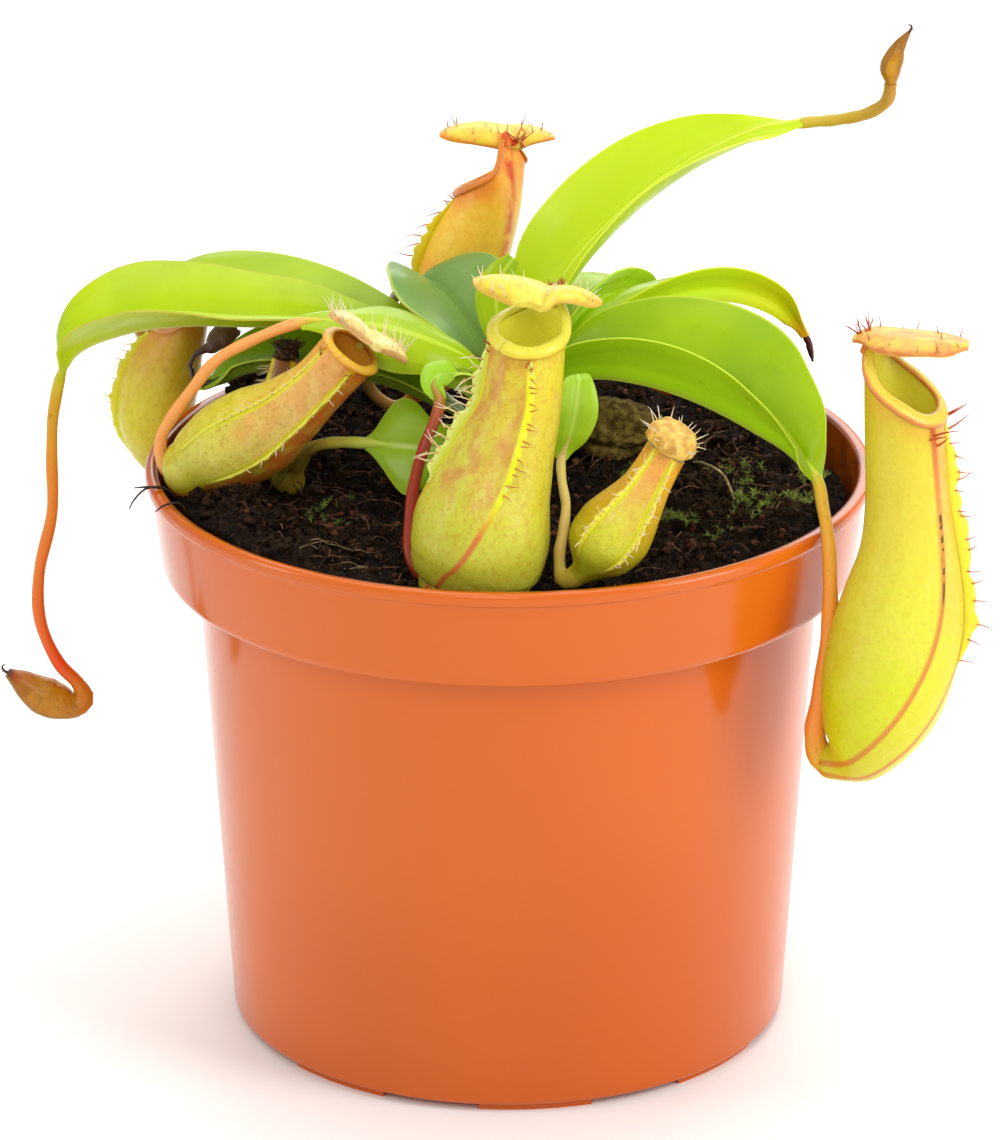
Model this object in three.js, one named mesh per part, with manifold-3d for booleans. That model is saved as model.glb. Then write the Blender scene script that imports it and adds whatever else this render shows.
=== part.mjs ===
// Potted pitcher plant: a young Nepenthes with nine pitchers, in a round plastic nursery pot.
// Millimetres, +Z up, front towards -Y. The origin is on the pot's axis, in the plane that it stands on.
import * as THREE from "three";
import { mergeVertices } from "three/addons/utils/BufferGeometryUtils.js";
import Module from "manifold-3d";

const wasm = await Module();
wasm.setup();

// Driving dimensions
const GAP = 0.3; // clear space between two pieces that touch
const RIM_RADIUS = 60;
const POT_HEIGHT = 96.8;
const COLLAR_DROP = 17.3; // from the rim down to the collar's lower edge
const COLLAR_LOW_RADIUS = 57.2;
const BODY_TOP_RADIUS = 51.5;
const BASE_RADIUS = 46.4;
const WALL = 1.4;
const FOOT_HEIGHT = 1.2;
const FOOT_COUNT = 8;
const FOOT_LENGTH = 18;
const FOOT_OUTER_RADIUS = 45;
const FOOT_INNER_RADIUS = 41;
const CENTRE_FOOT_RADIUS = 7;
const DRAIN_COUNT = 6;
const DRAIN_RADIUS = 4;
const DRAIN_RING_RADIUS = 27;
const POT_SEGMENTS = 40;

const SOIL_LEVEL = 91.5; // mean height of the soil's surface
const SOIL_RISE_TO_FRONT = 0.04; // millimetres higher for each millimetre nearer the front
const SOIL_RISE_TO_LEFT = 0.03;
const SOIL_SEGMENTS = 32;

const STEM_X = 0;
const STEM_Y = 2;
const STEM_RADIUS = 2.9;
const STEM_FOOT = 74;
const STEM_TOP = 115.5;

const BLADE_HALF = 0.4; // half the thickness of a leaf blade
const MARGIN_HALF = 0.3; // half the thickness at the leaf's margin
const KEEL_DEPTH = 1.2; // how far the midrib stands out below the blade
const TENDRIL_RADIUS = 1.15;
const TENDRIL_RADII = [0.95, 1, 1.1];
const TENDRIL_SIDES = 6;
const CUP_WALL = 1.1;

const point = (x, y, z) => new THREE.Vector3(x, y, z);
const between = (low, high, value) => Math.min(Math.max(value, low), high);

// Materials, one for each slot of the record
const finish = (color, roughness) => new THREE.MeshStandardMaterial({ color, roughness, metalness: 0 });
const potPlastic = finish(0xdc7a3c, 0.3);
const peat = finish(0x2b211c, 0.95);
const stemSkin = finish(0x6f7a35, 0.6);
const limeLeaf = finish(0xb4e010, 0.35);
const greenLeaf = finish(0x7fbf1f, 0.35);
const greyLeaf = finish(0x7c9d72, 0.45);
const tendrilSkin = finish(0xd0853c, 0.4);
const pitcherSkin = finish(0xcdbb3a, 0.4);
const lidSkin = finish(0xdcb560, 0.5);
const barkSkin = finish(0x7b6a45, 0.85);
const driedSkin = finish(0x3b2a22, 0.9);

// A repeatable random number between 0 and 1
let seed = 7;
function random() {
  seed = (seed * 16807) % 2147483647;
  return seed / 2147483647;
}

// A value read from a short list along a length of 0 to 1, on a smooth curve through its numbers
function smooth(values, t) {
  const last = values.length - 1;
  const x = between(0, 1, t) * last;
  const i = Math.min(Math.floor(x), last - 1);
  const f = x - i;
  const [a, b, c, d] = [i - 1, i, i + 1, i + 2].map((n) => values[between(0, last, n)]);
  const bend = (2 * a - 5 * b + 4 * c - d) * f * f;
  const twist = (3 * b - a - 3 * c + d) * f * f * f;
  return b + 0.5 * ((c - a) * f + bend + twist);
}

// A direction turned square to an axis
function squareTo(direction, axis) {
  return direction.clone().addScaledVector(axis, -direction.dot(axis)).normalize();
}

// Places along part of a curve, from one of its control points to another, half a gap in from each end
function stations(curve, first, last, count, ease = 1) {
  const spans = curve.points.length - 1;
  const at = (s) => (first + (last - first) * s) / spans;
  const steps = 24 * (last - first);
  const travelled = [0];
  for (let i = 1; i <= steps; i++) {
    const step = curve.getPoint(at(i / steps)).distanceTo(curve.getPoint(at((i - 1) / steps)));
    travelled.push(travelled[i - 1] + step);
  }
  const usable = travelled[steps] - GAP;
  return Array.from({ length: count }, (_, n) => {
    const t = (n / (count - 1)) ** ease;
    const wanted = GAP / 2 + usable * t;
    const i = travelled.findIndex((distance) => distance >= wanted);
    const s = (i - (travelled[i] - wanted) / (travelled[i] - travelled[i - 1])) / steps;
    return { t, centre: curve.getPoint(at(s)), along: curve.getTangent(at(s)) };
  });
}

// Faces that fill the end ring of a loft
function fillEnd(index, start, sides, facing) {
  for (let k = 0; k < sides / 2 - 1; k++) {
    const [a, b, c, d] = [k, k + 1, sides - 2 - k, sides - 1 - k].map((n) => start + n);
    if (facing > 0) index.push(a, b, d, b, c, d);
    else index.push(a, d, b, b, d, c);
  }
}

// A closed skin through rings that have the same even number of points, filled at both ends
function loft(rings) {
  const sides = rings[0].length;
  const index = [];
  for (let i = 0; i + 1 < rings.length; i++) {
    for (let k = 0; k < sides; k++) {
      const a = i * sides + k;
      const b = i * sides + ((k + 1) % sides);
      index.push(a, b, a + sides, b, b + sides, a + sides);
    }
  }
  fillEnd(index, 0, sides, -1);
  fillEnd(index, (rings.length - 1) * sides, sides, 1);
  const places = rings.flat().flatMap((p) => [p.x, p.y, p.z]);
  const geometry = new THREE.BufferGeometry();
  geometry.setAttribute("position", new THREE.Float32BufferAttribute(places, 3));
  return geometry.setIndex(index);
}

// A closed geometry as a solid that can be cut and joined, and back
function solidOf(geometry) {
  const bare = geometry.clone();
  bare.deleteAttribute("normal");
  bare.deleteAttribute("uv");
  const merged = mergeVertices(bare, 1e-4);
  const vertProperties = merged.attributes.position.array;
  const triVerts = new Uint32Array(merged.index.array);
  return new wasm.Manifold(new wasm.Mesh({ numProp: 3, vertProperties, triVerts }));
}

function geometryOf(solid) {
  const mesh = solid.getMesh();
  const geometry = new THREE.BufferGeometry();
  geometry.setAttribute("position", new THREE.BufferAttribute(mesh.vertProperties, 3));
  return geometry.setIndex(new THREE.BufferAttribute(mesh.triVerts, 1));
}

const plant = new THREE.Group();
function add(name, geometry, material) {
  const mesh = new THREE.Mesh(geometry, material);
  mesh.name = name;
  plant.add(mesh);
}

// A geometry turned about the upright axis, from a profile of [radius, height] pairs
function turned(profile, segments) {
  const outline = profile.map(([radius, height]) => new THREE.Vector2(radius, height));
  return new THREE.LatheGeometry(outline, segments).rotateX(Math.PI / 2);
}

// The pot: a thin tapered wall with a wider collar, a floor with drain holes, and feet
const WALL_FOOT = FOOT_HEIGHT + 2.2;
const WALL_TOP = POT_HEIGHT - COLLAR_DROP - 0.6;
function innerBodyRadius(height) {
  const share = (height - WALL_FOOT) / (WALL_TOP - WALL_FOOT);
  return BASE_RADIUS - WALL + (BODY_TOP_RADIUS - BASE_RADIUS) * share;
}

function potShell() {
  const collar = POT_HEIGHT - COLLAR_DROP;
  const profile = [
    [0, FOOT_HEIGHT],
    [BASE_RADIUS - 0.8, FOOT_HEIGHT],
    [BASE_RADIUS, FOOT_HEIGHT + 0.8],
    [BODY_TOP_RADIUS, collar - 0.8],
    [BODY_TOP_RADIUS + 1.6, collar - 0.2],
    [COLLAR_LOW_RADIUS - 1.6, collar],
    [COLLAR_LOW_RADIUS, collar + 1.6],
    [RIM_RADIUS - 1.1, POT_HEIGHT - 2.6],
    [RIM_RADIUS - 0.3, POT_HEIGHT - 2.2],
    [RIM_RADIUS, POT_HEIGHT - 1.2],
    [RIM_RADIUS - 0.4, POT_HEIGHT - 0.2],
    [RIM_RADIUS - 1.1, POT_HEIGHT],
    [RIM_RADIUS - 2.1, POT_HEIGHT - 0.6],
    [RIM_RADIUS - 2.5, POT_HEIGHT - 2.4],
    [COLLAR_LOW_RADIUS - WALL, collar + 2.6],
    [COLLAR_LOW_RADIUS - WALL - 1.2, collar + 1.6],
    [BODY_TOP_RADIUS - 0.4, collar + 1.2],
    [BODY_TOP_RADIUS - WALL, WALL_TOP],
    [BASE_RADIUS - WALL, WALL_FOOT],
    [BASE_RADIUS - WALL - 0.8, FOOT_HEIGHT + WALL],
    [0, FOOT_HEIGHT + WALL],
  ];
  return solidOf(turned(profile, POT_SEGMENTS));
}

function arcFoot(angle) {
  const half = FOOT_LENGTH / (FOOT_INNER_RADIUS + FOOT_OUTER_RADIUS);
  const outline = new THREE.Shape();
  outline.absarc(0, 0, FOOT_OUTER_RADIUS, angle - half, angle + half, false);
  outline.absarc(0, 0, FOOT_INNER_RADIUS, angle + half, angle - half, true);
  const sunk = FOOT_HEIGHT + WALL / 2;
  return solidOf(new THREE.ExtrudeGeometry(outline, { depth: sunk, bevelEnabled: false, curveSegments: 3 }));
}

function pot() {
  let shell = potShell();
  const sunk = FOOT_HEIGHT + WALL / 2;
  const centreFoot = [[0, 0], [CENTRE_FOOT_RADIUS, 0], [CENTRE_FOOT_RADIUS, sunk], [0, sunk]];
  shell = shell.add(solidOf(turned(centreFoot, 16)));
  for (let i = 0; i < FOOT_COUNT; i++) {
    shell = shell.add(arcFoot(-Math.PI / 2 + 0.1 + (i * 2 * Math.PI) / FOOT_COUNT));
  }
  const drill = new THREE.CylinderGeometry(DRAIN_RADIUS, DRAIN_RADIUS, 8, 12).rotateX(Math.PI / 2);
  for (let i = 0; i < DRAIN_COUNT; i++) {
    const angle = (i * 2 * Math.PI) / DRAIN_COUNT;
    const x = DRAIN_RING_RADIUS * Math.cos(angle);
    const y = DRAIN_RING_RADIUS * Math.sin(angle);
    shell = shell.subtract(solidOf(drill.clone().translate(x, y, FOOT_HEIGHT)));
  }
  return geometryOf(shell);
}

// Hollows that the resting pitchers have pressed into the soil: [x, y, radius, height of the soil there]
const NESTS = [
  [-4, -43, 17, 90.2],
  [-47, -8, 13, 91.5],
  [15, -44, 12, 90.8],
  [-36.5, 3, 9, 90.6],
  [-15, 38, 12, 90.6],
];

function soilHeight(x, y) {
  const clods = 0.8 * Math.sin(x / 4.1 + 1.3 * Math.sin(y / 6.3)) * Math.cos(y / 4.7 + 0.6);
  const crumbs = 0.5 * Math.sin((x - y) / 3.1);
  const open = SOIL_LEVEL - SOIL_RISE_TO_FRONT * y - SOIL_RISE_TO_LEFT * x + clods + crumbs;
  return NESTS.reduce((height, [u, v, radius, nest]) => {
    const away = Math.min(Math.hypot(x - u, y - v) / radius, 1);
    return height + (nest - height) * (1 - away * away) ** 0.7;
  }, open);
}

function soil() {
  const collar = POT_HEIGHT - COLLAR_DROP;
  const circle = (radius, height) =>
    Array.from({ length: SOIL_SEGMENTS }, (_, k) => {
      const angle = (k * 2 * Math.PI) / SOIL_SEGMENTS;
      const x = radius * Math.cos(angle);
      const y = radius * Math.sin(angle);
      return point(x, y, height ?? soilHeight(x, y));
    });
  const floor = FOOT_HEIGHT + WALL + GAP;
  const rings = [
    circle(4, floor),
    circle(innerBodyRadius(floor) - 1.6, floor),
    circle(innerBodyRadius(floor + 2) - GAP, floor + 2),
    circle(innerBodyRadius(collar - 3) - GAP, collar - 3),
    circle(innerBodyRadius(collar) - 0.8, collar + 2),
    circle(COLLAR_LOW_RADIUS - WALL - 1, collar + 3.4),
    circle(COLLAR_LOW_RADIUS - WALL - GAP - 0.1),
  ];
  const edge = COLLAR_LOW_RADIUS - WALL - GAP;
  for (const share of [0.93, 0.84, 0.74, 0.64, 0.54, 0.44, 0.33, 0.22, 0.11]) {
    rings.push(circle(edge * share));
  }
  const hole = new THREE.CylinderGeometry(STEM_RADIUS + GAP, STEM_RADIUS + GAP, 40, 12).rotateX(Math.PI / 2);
  hole.translate(STEM_X, STEM_Y, STEM_FOOT - GAP + 20);
  const barkHole = solidOf(barkLump(1.07));
  return geometryOf(solidOf(loft(rings)).subtract(solidOf(hole)).subtract(barkHole));
}

// A lump of bark half buried in the soil
const BARK_CENTRE = [17, 20, 95];
const BARK_SIZE = [8, 6.5, 5];
function barkLump(scale = 1) {
  const ball = new THREE.IcosahedronGeometry(1, 2);
  const places = ball.attributes.position;
  for (let i = 0; i < places.count; i++) {
    const [x, y, z] = [places.getX(i), places.getY(i), places.getZ(i)];
    const lumps = 0.08 * Math.sin(5 * x + 2 * z) * Math.cos(4 * y);
    const rough = scale * (1 + lumps + 0.06 * Math.sin(9 * z + 3 * x));
    const [u, v, w] = BARK_SIZE.map((size) => size * rough);
    places.setXYZ(i, BARK_CENTRE[0] + u * x, BARK_CENTRE[1] + v * y, BARK_CENTRE[2] + w * z);
  }
  return ball;
}

function stem() {
  const profile = [
    [0, STEM_FOOT],
    [STEM_RADIUS - 0.6, STEM_FOOT],
    [STEM_RADIUS, STEM_FOOT + 4],
    [STEM_RADIUS - 0.2, 104],
    [STEM_RADIUS - 0.8, STEM_TOP - 1],
    [STEM_RADIUS - 1.4, STEM_TOP],
    [0, STEM_TOP],
  ];
  return turned(profile, 12).translate(STEM_X, STEM_Y, 0);
}

// A leaf blade or a lid: two halves that spread from a midrib, thick at the midrib and thin at the margin.
// spread holds the directions of the left and right halves, at the start and at the end of the blade.
const ACROSS = [1, 0.6, 0.25];
function blade(curve, first, last, shape) {
  const { widths, spread, reach = [1, 1], across = ACROSS, steps = 13 } = shape;
  const { keel = KEEL_DEPTH, bow = 0.06, wave = 0.5 } = shape;
  const rings = stations(curve, first, last, steps).map(({ t, centre, along }) => {
    const width = Math.max(smooth(widths, t), TENDRIL_RADIUS * 0.9);
    const fold = between(0, 1, (width - 1.6) / 3);
    const [left, right] = [0, 1].map((side) => {
      const start = point(...spread[0][side]);
      return squareTo(start.lerp(point(...spread[1][side]), t), along);
    });
    const flat = right.clone().sub(left).normalize();
    const normal = flat.clone().cross(along).normalize();
    const halves = [flat.clone().negate().lerp(left, fold), flat.clone().lerp(right, fold)];
    halves.forEach((half) => half.normalize());
    const up = [along.clone().cross(halves[0]), halves[1].clone().cross(along)].map((v) => v.normalize());
    const thick = between(0.6, 1, width / 3);
    const row = (face) => {
      const at = (side, share) => {
        const ripple = wave * fold * share * share * Math.sin(9 * t + 2 * side);
        const arch = bow * fold * width * Math.sin(Math.PI * share);
        const half = share > 0.9 ? MARGIN_HALF : BLADE_HALF;
        const out = centre.clone().addScaledVector(halves[side], width * reach[side] * share);
        return out.addScaledVector(up[side], arch + ripple + face * half);
      };
      const middle = face > 0 ? BLADE_HALF * thick + (1 - fold) * 0.7 : -BLADE_HALF - keel * thick;
      const spine = centre.clone().addScaledVector(normal, middle);
      const inward = across.toReversed();
      return [...across.map((share) => at(0, share)), spine, ...inward.map((share) => at(1, share))];
    };
    return [...row(1), ...row(-1).reverse()];
  });
  return loft(rings);
}

// A ring of points round a centre, in the plane square to its axis, starting from the front
function ring(centre, axis, front, sides, radiusAt, liftAt = () => 0) {
  const ahead = squareTo(front, axis);
  const beside = axis.clone().cross(ahead);
  return Array.from({ length: sides }, (_, k) => {
    const angle = (k * 2 * Math.PI) / sides;
    const radius = radiusAt(k);
    const out = centre.clone().addScaledVector(ahead, radius * Math.cos(angle));
    return out.addScaledVector(beside, radius * Math.sin(angle)).addScaledVector(axis, liftAt(k));
  });
}

function tendril(curve, first, last, radii) {
  const places = stations(curve, first, last, Math.max(5, Math.round(2.3 * (last - first))));
  let front = point(0.3, -1, 0.2);
  const rings = places.map(({ t, centre, along }) => {
    front = squareTo(front, along);
    return ring(centre, along, front, TENDRIL_SIDES, () => smooth(radii, t));
  });
  return loft(rings);
}

// A stiff hair, a three-sided cone, rooted a little below the surface that it grows from
function hair(root, direction, length) {
  const sunk = 0.6;
  const cone = new THREE.ConeGeometry(0.42, length + sunk, 3).translate(0, (length - sunk) / 2, 0);
  const turn = new THREE.Quaternion().setFromUnitVectors(point(0, 1, 0), direction.clone().normalize());
  return solidOf(cone.applyQuaternion(turn).translate(root.x, root.y, root.z));
}

// Frames down a pitcher, carried back from its mouth so that the wings don't wind round it
function facing(places, front) {
  let ahead = squareTo(front, places.at(-1).along);
  for (let i = places.length - 1; i >= 0; i--) {
    ahead = squareTo(ahead, places[i].along);
    places[i].front = ahead;
  }
}

const WING_RISE = [0, 0.25, 0.55, 0.9, 1, 1, 0.8, 0.1];
const LIP = [[0, -0.9], [1, -0.4], [0.9, 0.6], [-0.2, 0.9], [-1.1, 0]];

// How far the two wings of a pitcher stand out at side k of its rings
function wingReach(wings, wingSide, sides, k) {
  if (k === wingSide) return wings[1];
  if (k === sides - wingSide) return wings[0];
  return 0;
}

// A pitcher: a hollow cup round a bent centre line, with a thick lip that rises at the back, where the lid
// joins it, and two low wings at the front with a row of hairs on each
const FLOOR = 0.35; // how far up the pitcher its hollow starts
function pitcher(curve, first, last, spec) {
  const { radii, front, mouth, stretch = 1.1, neck = 2, wings = [1.2, 1.2] } = spec;
  const { sides = 16, steps = 12, hairs = 7, wingSide = 2 } = spec;
  const places = stations(curve, first, last, steps, 1.15);
  facing(places, point(...front));
  const level = point(...mouth).normalize();
  const lean = (t) => between(0, 1, (t - 0.55) / 0.45) ** 1.5;
  const ahead = (k) => Math.cos((k * 2 * Math.PI) / sides);
  const oval = (k, t) => 1 + (stretch - 1) * lean(t) * ahead(k) ** 2;
  const rise = (k, t) => neck * lean(t) * Math.max(0, -ahead(k)) ** 4;
  const wingAt = (k, t) => wingReach(wings, wingSide, sides, k) * smooth(WING_RISE, t);
  const axisAt = ({ t, along }) => along.clone().lerp(level, lean(t)).normalize();
  const around = (place, extra) => {
    const { t, centre, front: toFront } = place;
    const radiusAt = (k) => smooth(radii, t) * oval(k, t) + extra(k, t);
    return ring(centre, axisAt(place), toFront, sides, radiusAt, (k) => rise(k, t));
  };
  const outer = places.map((place) => around(place, wingAt));
  const top = places.at(-1);
  const lip = LIP.map(([out, up]) => {
    const centre = top.centre.clone().addScaledVector(level, up + 0.9);
    return around({ ...top, centre }, () => out);
  });
  const inside = places.filter(({ t }) => t > FLOOR && t < 0.95).reverse();
  const inner = inside.map((place) => around(place, () => -CUP_WALL));
  const lowest = inside.at(-1);
  const inmost = smooth(radii, lowest.t) - CUP_WALL;
  const sunk = lowest.centre.clone().addScaledVector(lowest.along, -0.4 * inmost);
  inner.push(ring(sunk, lowest.along, lowest.front, sides, () => 0.5 * inmost));
  let body = solidOf(loft([...outer.slice(0, -1), ...lip, ...inner]));
  for (const k of [wingSide, sides - wingSide]) {
    for (let i = 0; i < hairs; i++) {
      const wanted = FLOOR + ((0.95 - FLOOR) * (i + 0.5)) / hairs;
      const n = places.findIndex(({ t }) => t >= wanted);
      const root = outer[n][k];
      const out = root.clone().sub(places[n].centre).normalize();
      out.addScaledVector(places[n].along, 0.5 * random() - 0.1);
      body = body.add(hair(root, out, 2.4 + random()));
    }
  }
  return geometryOf(body);
}

// A young pitcher that is still shut, or a bud: solid, round a bent centre line
function bud(curve, first, last, spec) {
  const { radii, front = [0, -1, 0], wings = [0, 0], sides = 10, steps = 9 } = spec;
  const places = stations(curve, first, last, steps);
  facing(places, point(...front));
  const rings = places.map(({ t, centre, along, front: toFront }) => {
    const wingAt = (k) => wingReach(wings, 1, sides, k) * Math.sin(Math.PI * t);
    return ring(centre, along, toFront, sides, (k) => Math.max(smooth(radii, t), 0.35) + wingAt(k));
  });
  return loft(rings);
}

// A lid: a small domed blade over the mouth, with stiff hairs near its margin and a spur at its hinge
function lid({ line, widths, spread, reach, hairs = 5, spur = [0, 0, 1] }) {
  const curve = new THREE.CatmullRomCurve3(line.map((p) => point(...p)));
  const shape = { widths, spread, reach, across: [1, 0.5], steps: 7, keel: 0.3, bow: 0.1, wave: 0 };
  let body = solidOf(blade(curve, 0, line.length - 1, shape));
  for (let i = 0; i < hairs; i++) {
    const t = 0.15 + (0.7 * i) / (hairs - 1);
    const place = stations(curve, 0, line.length - 1, 21)[Math.round(20 * t)];
    const side = i % 2;
    const start = point(...spread[0][side]);
    const out = squareTo(start.lerp(point(...spread[1][side]), t), place.along);
    const root = place.centre.clone().addScaledVector(out, 0.8 * (reach?.[side] ?? 1) * smooth(widths, t));
    body = body.add(hair(root, out.addScaledVector(point(0, 0, 1), 1.3 + 0.5 * random()), 2 + random()));
  }
  const hinge = stations(curve, 0, line.length - 1, 9)[1].centre;
  for (const sway of [-0.5, 0, 0.5]) {
    body = body.add(hair(hinge, point(...spur).add(point(sway, 0.4 * sway, 0)), 3));
  }
  return geometryOf(body);
}

// A cap on a pitcher that is still shut: a low dome with a crown of short points
function cap({ foot, axis, profile, points, reach }) {
  const along = point(...axis).normalize();
  const front = point(0, -1, 0);
  const rings = profile.map(([radius, height], i) => {
    const rough = (k) => radius * (1 + 0.07 * Math.sin(5 * k + 2 * i));
    return ring(point(...foot).addScaledVector(along, height), along, front, 12, rough);
  });
  let body = solidOf(loft(rings));
  for (let i = 0; i < points; i++) {
    const angle = (i * 2 * Math.PI) / points;
    const out = ring(point(0, 0, 0), along, front, points, () => 1)[i];
    const root = point(...foot).addScaledVector(along, reach.height).addScaledVector(out, reach.radius);
    body = body.add(hair(root, out.addScaledVector(along, 0.9 + 0.3 * Math.sin(3 * angle)), reach.length));
  }
  return geometryOf(body);
}

// The leaves. Each is one long organ: a blade, the tendril that its midrib runs out into, and a pitcher.
// All three share one centre line, through the points given here.
const ORGANS = [
  {
    name: "left_long",
    material: limeLeaf,
    leaf: [
      [-4, 2.6, 108], [-9, 4, 113], [-18, 6, 116], [-29, 8, 118], [-43, 8.5, 118],
      [-53, 8, 118.2], [-62, 6, 116.8], [-70.4, 4, 113], [-75, 2.5, 105.5],
    ],
    blade: {
      widths: [1.4, 2.5, 4, 5.3, 8.3, 10, 11.5, 11.5, 8.5, 1],
      spread: [[[0, -0.93, 0.37], [0, 0.75, 0.66]], [[-0.5, -0.8, 0.4], [0, 0.75, 0.66]]],
      steps: 16,
    },
    tendril: [
      [-75.5, 1, 98], [-75.6, 0, 88], [-78, 0, 77],
      [-78, 0, 68.5], [-75, 0, 60.8], [-72, 0, 57.3], [-71, 0, 54.6],
    ],
    bud: [[-72.6, 0, 53.4], [-75.8, 0, 54.2], [-79, 0, 56], [-81.6, 0, 57.9], [-83.7, 0, 59.2]],
    budShape: { radii: [1.1, 2.6, 3.1, 2.6, 1.8, 0.9], front: [0, 0, -1], wings: [0.5, 0.5] },
  },
  {
    name: "left_back",
    material: limeLeaf,
    leaf: [
      [-3.6, 4, 105], [-9, 8.5, 109.5], [-16, 13, 112], [-30, 19.5, 116],
      [-44, 25, 118.5], [-56, 29, 118], [-63, 32, 114.5],
    ],
    blade: {
      widths: [1.2, 3, 7, 9, 9, 7.5, 1],
      spread: [[[0, -1, 0.25], [0, 0.68, 0.73]], [[0, -0.95, 0.3], [0, 0.97, 0.2]]],
    },
    tendril: [
      [-64, 36, 110], [-62, 41, 104], [-60, 46, 97], [-59, 48, 89],
      [-59, 47, 81], [-59, 43, 76.8], [-59.3, 39.5, 78],
    ],
    cup: [[-59.8, 37.5, 80.5], [-60.5, 36, 86], [-60, 35, 93], [-58, 34, 101], [-55.5, 33, 107.5]],
    cupShape: {
      radii: [1.2, 3.8, 6, 6.5, 6.1, 5.2, 4.6], front: [-0.85, -0.5, 0], mouth: [-0.25, -0.1, 1],
      wings: [1.6, 1.6], sides: 14, steps: 9, hairs: 4,
    },
    lid: {
      line: [[-50.6, 35.3, 113], [-53, 34, 114], [-57, 31.8, 113.5], [-60.5, 30, 112.6]],
      widths: [1.5, 4.5, 5.5, 4, 1],
      spread: [[[0.5, -0.85, 0.1], [-0.5, 0.85, 0.1]], [[0.5, -0.85, 0.1], [-0.5, 0.85, 0.1]]],
    },
  },
  {
    name: "left_front",
    material: limeLeaf,
    leaf: [
      [-2.5, 0.2, 110.6], [-7, -2.8, 116], [-12.5, -4, 119.3],
      [-19, -4, 121.5], [-27, -3.8, 122.7], [-34, -3.6, 122.4],
    ],
    blade: {
      widths: [1.3, 2.2, 6.1, 7, 4, 1.2],
      spread: [[[0, -0.6, -0.8], [0, 0.97, 0.25]], [[0, -0.6, -0.8], [0, 1, 0]]],
    },
    tendril: [
      [-42.1, -4.5, 119.6], [-47.9, -5, 116.3], [-51.7, -5.5, 111.7],
      [-55.1, -6, 106.3], [-56.6, -6.5, 101.5], [-56.1, -6.7, 97.2], [-55, -6.9, 93.9],
    ],
    cup: [
      [-52.6, -7.1, 93.9], [-49.7, -7.6, 97.7], [-46, -9, 103.5],
      [-39, -11, 109.3], [-31.5, -13, 115.2], [-26, -14, 120],
    ],
    cupShape: {
      radii: [1, 4.3, 7.2, 6.3, 5.4, 5.1], front: [0.25, -0.9, -0.3], mouth: [0.55, -0.25, 0.8], neck: 0,
      wings: [1, 1], steps: 11, hairs: 6,
    },
    lid: {
      line: [[-24.5, -8.4, 123.6], [-22.9, -11.5, 124.1], [-21.4, -15, 124], [-20.9, -18.5, 124.2]],
      widths: [1.5, 7, 8, 6, 1],
      spread: [[[0.8, 0, -0.57], [-0.8, 0, 0.57]], [[0.8, 0, -0.57], [-0.8, 0, 0.57]]],
    },
  },
  {
    name: "curled",
    material: greenLeaf,
    leaf: [
      [-1.8, -1.1, 105.5], [-4.3, -7.5, 110.8], [-7.8, -12.2, 115.2],
      [-11.3, -14.5, 117], [-12.2, -16.8, 116.2], [-11.2, -18.6, 114.5],
    ],
    blade: {
      widths: [1.4, 2.4, 4.5, 4.5, 3, 1.1],
      spread: [[[0.7, -0.6, 0.3], [-0.75, 0, 0.65]], [[0.9, -0.2, 0.3], [-0.8, 0, 0.6]]],
      steps: 10,
    },
    tendril: [
      [-11.7, -21.5, 112.7], [-13.2, -25, 110], [-14.5, -28.5, 107], [-15.4, -32, 103.5],
      [-15.9, -36, 99], [-15.7, -39.5, 95.3], [-14.2, -41.2, 93.2],
    ],
    cup: [
      [-12, -42, 93], [-8, -42.5, 96.2], [-3.7, -42, 103],
      [-0.9, -40.3, 112], [2, -38.6, 121], [3.3, -37, 130.5],
    ],
    cupShape: {
      radii: [1.2, 9.3, 11.7, 10.2, 8.2, 6.8, 6.6, 6.2], front: [-0.6, -0.8, 0], mouth: [0.05, -0.35, 0.94],
      neck: 4, wings: [2.4, 1], steps: 13, hairs: 8,
    },
    lid: {
      line: [[6.7, -31.9, 138.1], [6.4, -34.8, 139.3], [5.7, -38, 139.8], [5.2, -42.5, 138.6]],
      widths: [2, 8, 10, 10, 4],
      reach: [0.87, 1.15],
      spread: [[[1, 0, -0.12], [-1, 0, 0.3]], [[1, 0, -0.1], [-1, 0, 0.15]]],
    },
  },
  {
    name: "arrow",
    material: limeLeaf,
    leaf: [
      [-2.7, -0.3, 101], [-7, -5, 102.5], [-12, -9, 102.5],
      [-17.5, -12, 104], [-23.3, -14, 105.3],
    ],
    blade: {
      widths: [1.5, 2.5, 5, 8, 1.1],
      spread: [[[0, -0.6, -0.8], [0, 0.5, 0.85]], [[0, -0.5, -0.85], [0, 0.6, 0.8]]],
      steps: 10,
    },
    tendril: [
      [-28, -11, 104.3], [-32, -6.5, 101.8], [-34.5, -3, 98],
      [-35, -0.5, 94.5], [-36, 1, 92.5],
    ],
    bud: [[-36.8, 2.2, 93.3], [-37, 3.3, 97], [-37.3, 4, 102], [-37.3, 5, 107], [-37, 5.5, 111.5]],
    budShape: { radii: [1.2, 3.4, 4.2, 4, 3.6, 2.8, 2.5], front: [-0.3, -1, 0], wings: [0.7, 0.7] },
    cap: {
      foot: [-37, 5.6, 112], axis: [0.05, 0.1, 1],
      profile: [[1.9, 0], [2.4, 0.3], [2.2, 1.4], [2.7, 2.6], [1.6, 3.2], [0.5, 2.9]],
      points: 7, reach: { height: 2.7, radius: 2.2, length: 1.6 }, skin: driedSkin,
    },
  },
  {
    name: "grey_back",
    material: greyLeaf,
    leaf: [
      [-1, 6, 103.5], [-3, 9.7, 110.5], [-6.5, 14.5, 115.5],
      [-10, 20, 118.8], [-13.5, 25, 119.3], [-17.5, 29, 117],
    ],
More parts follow.
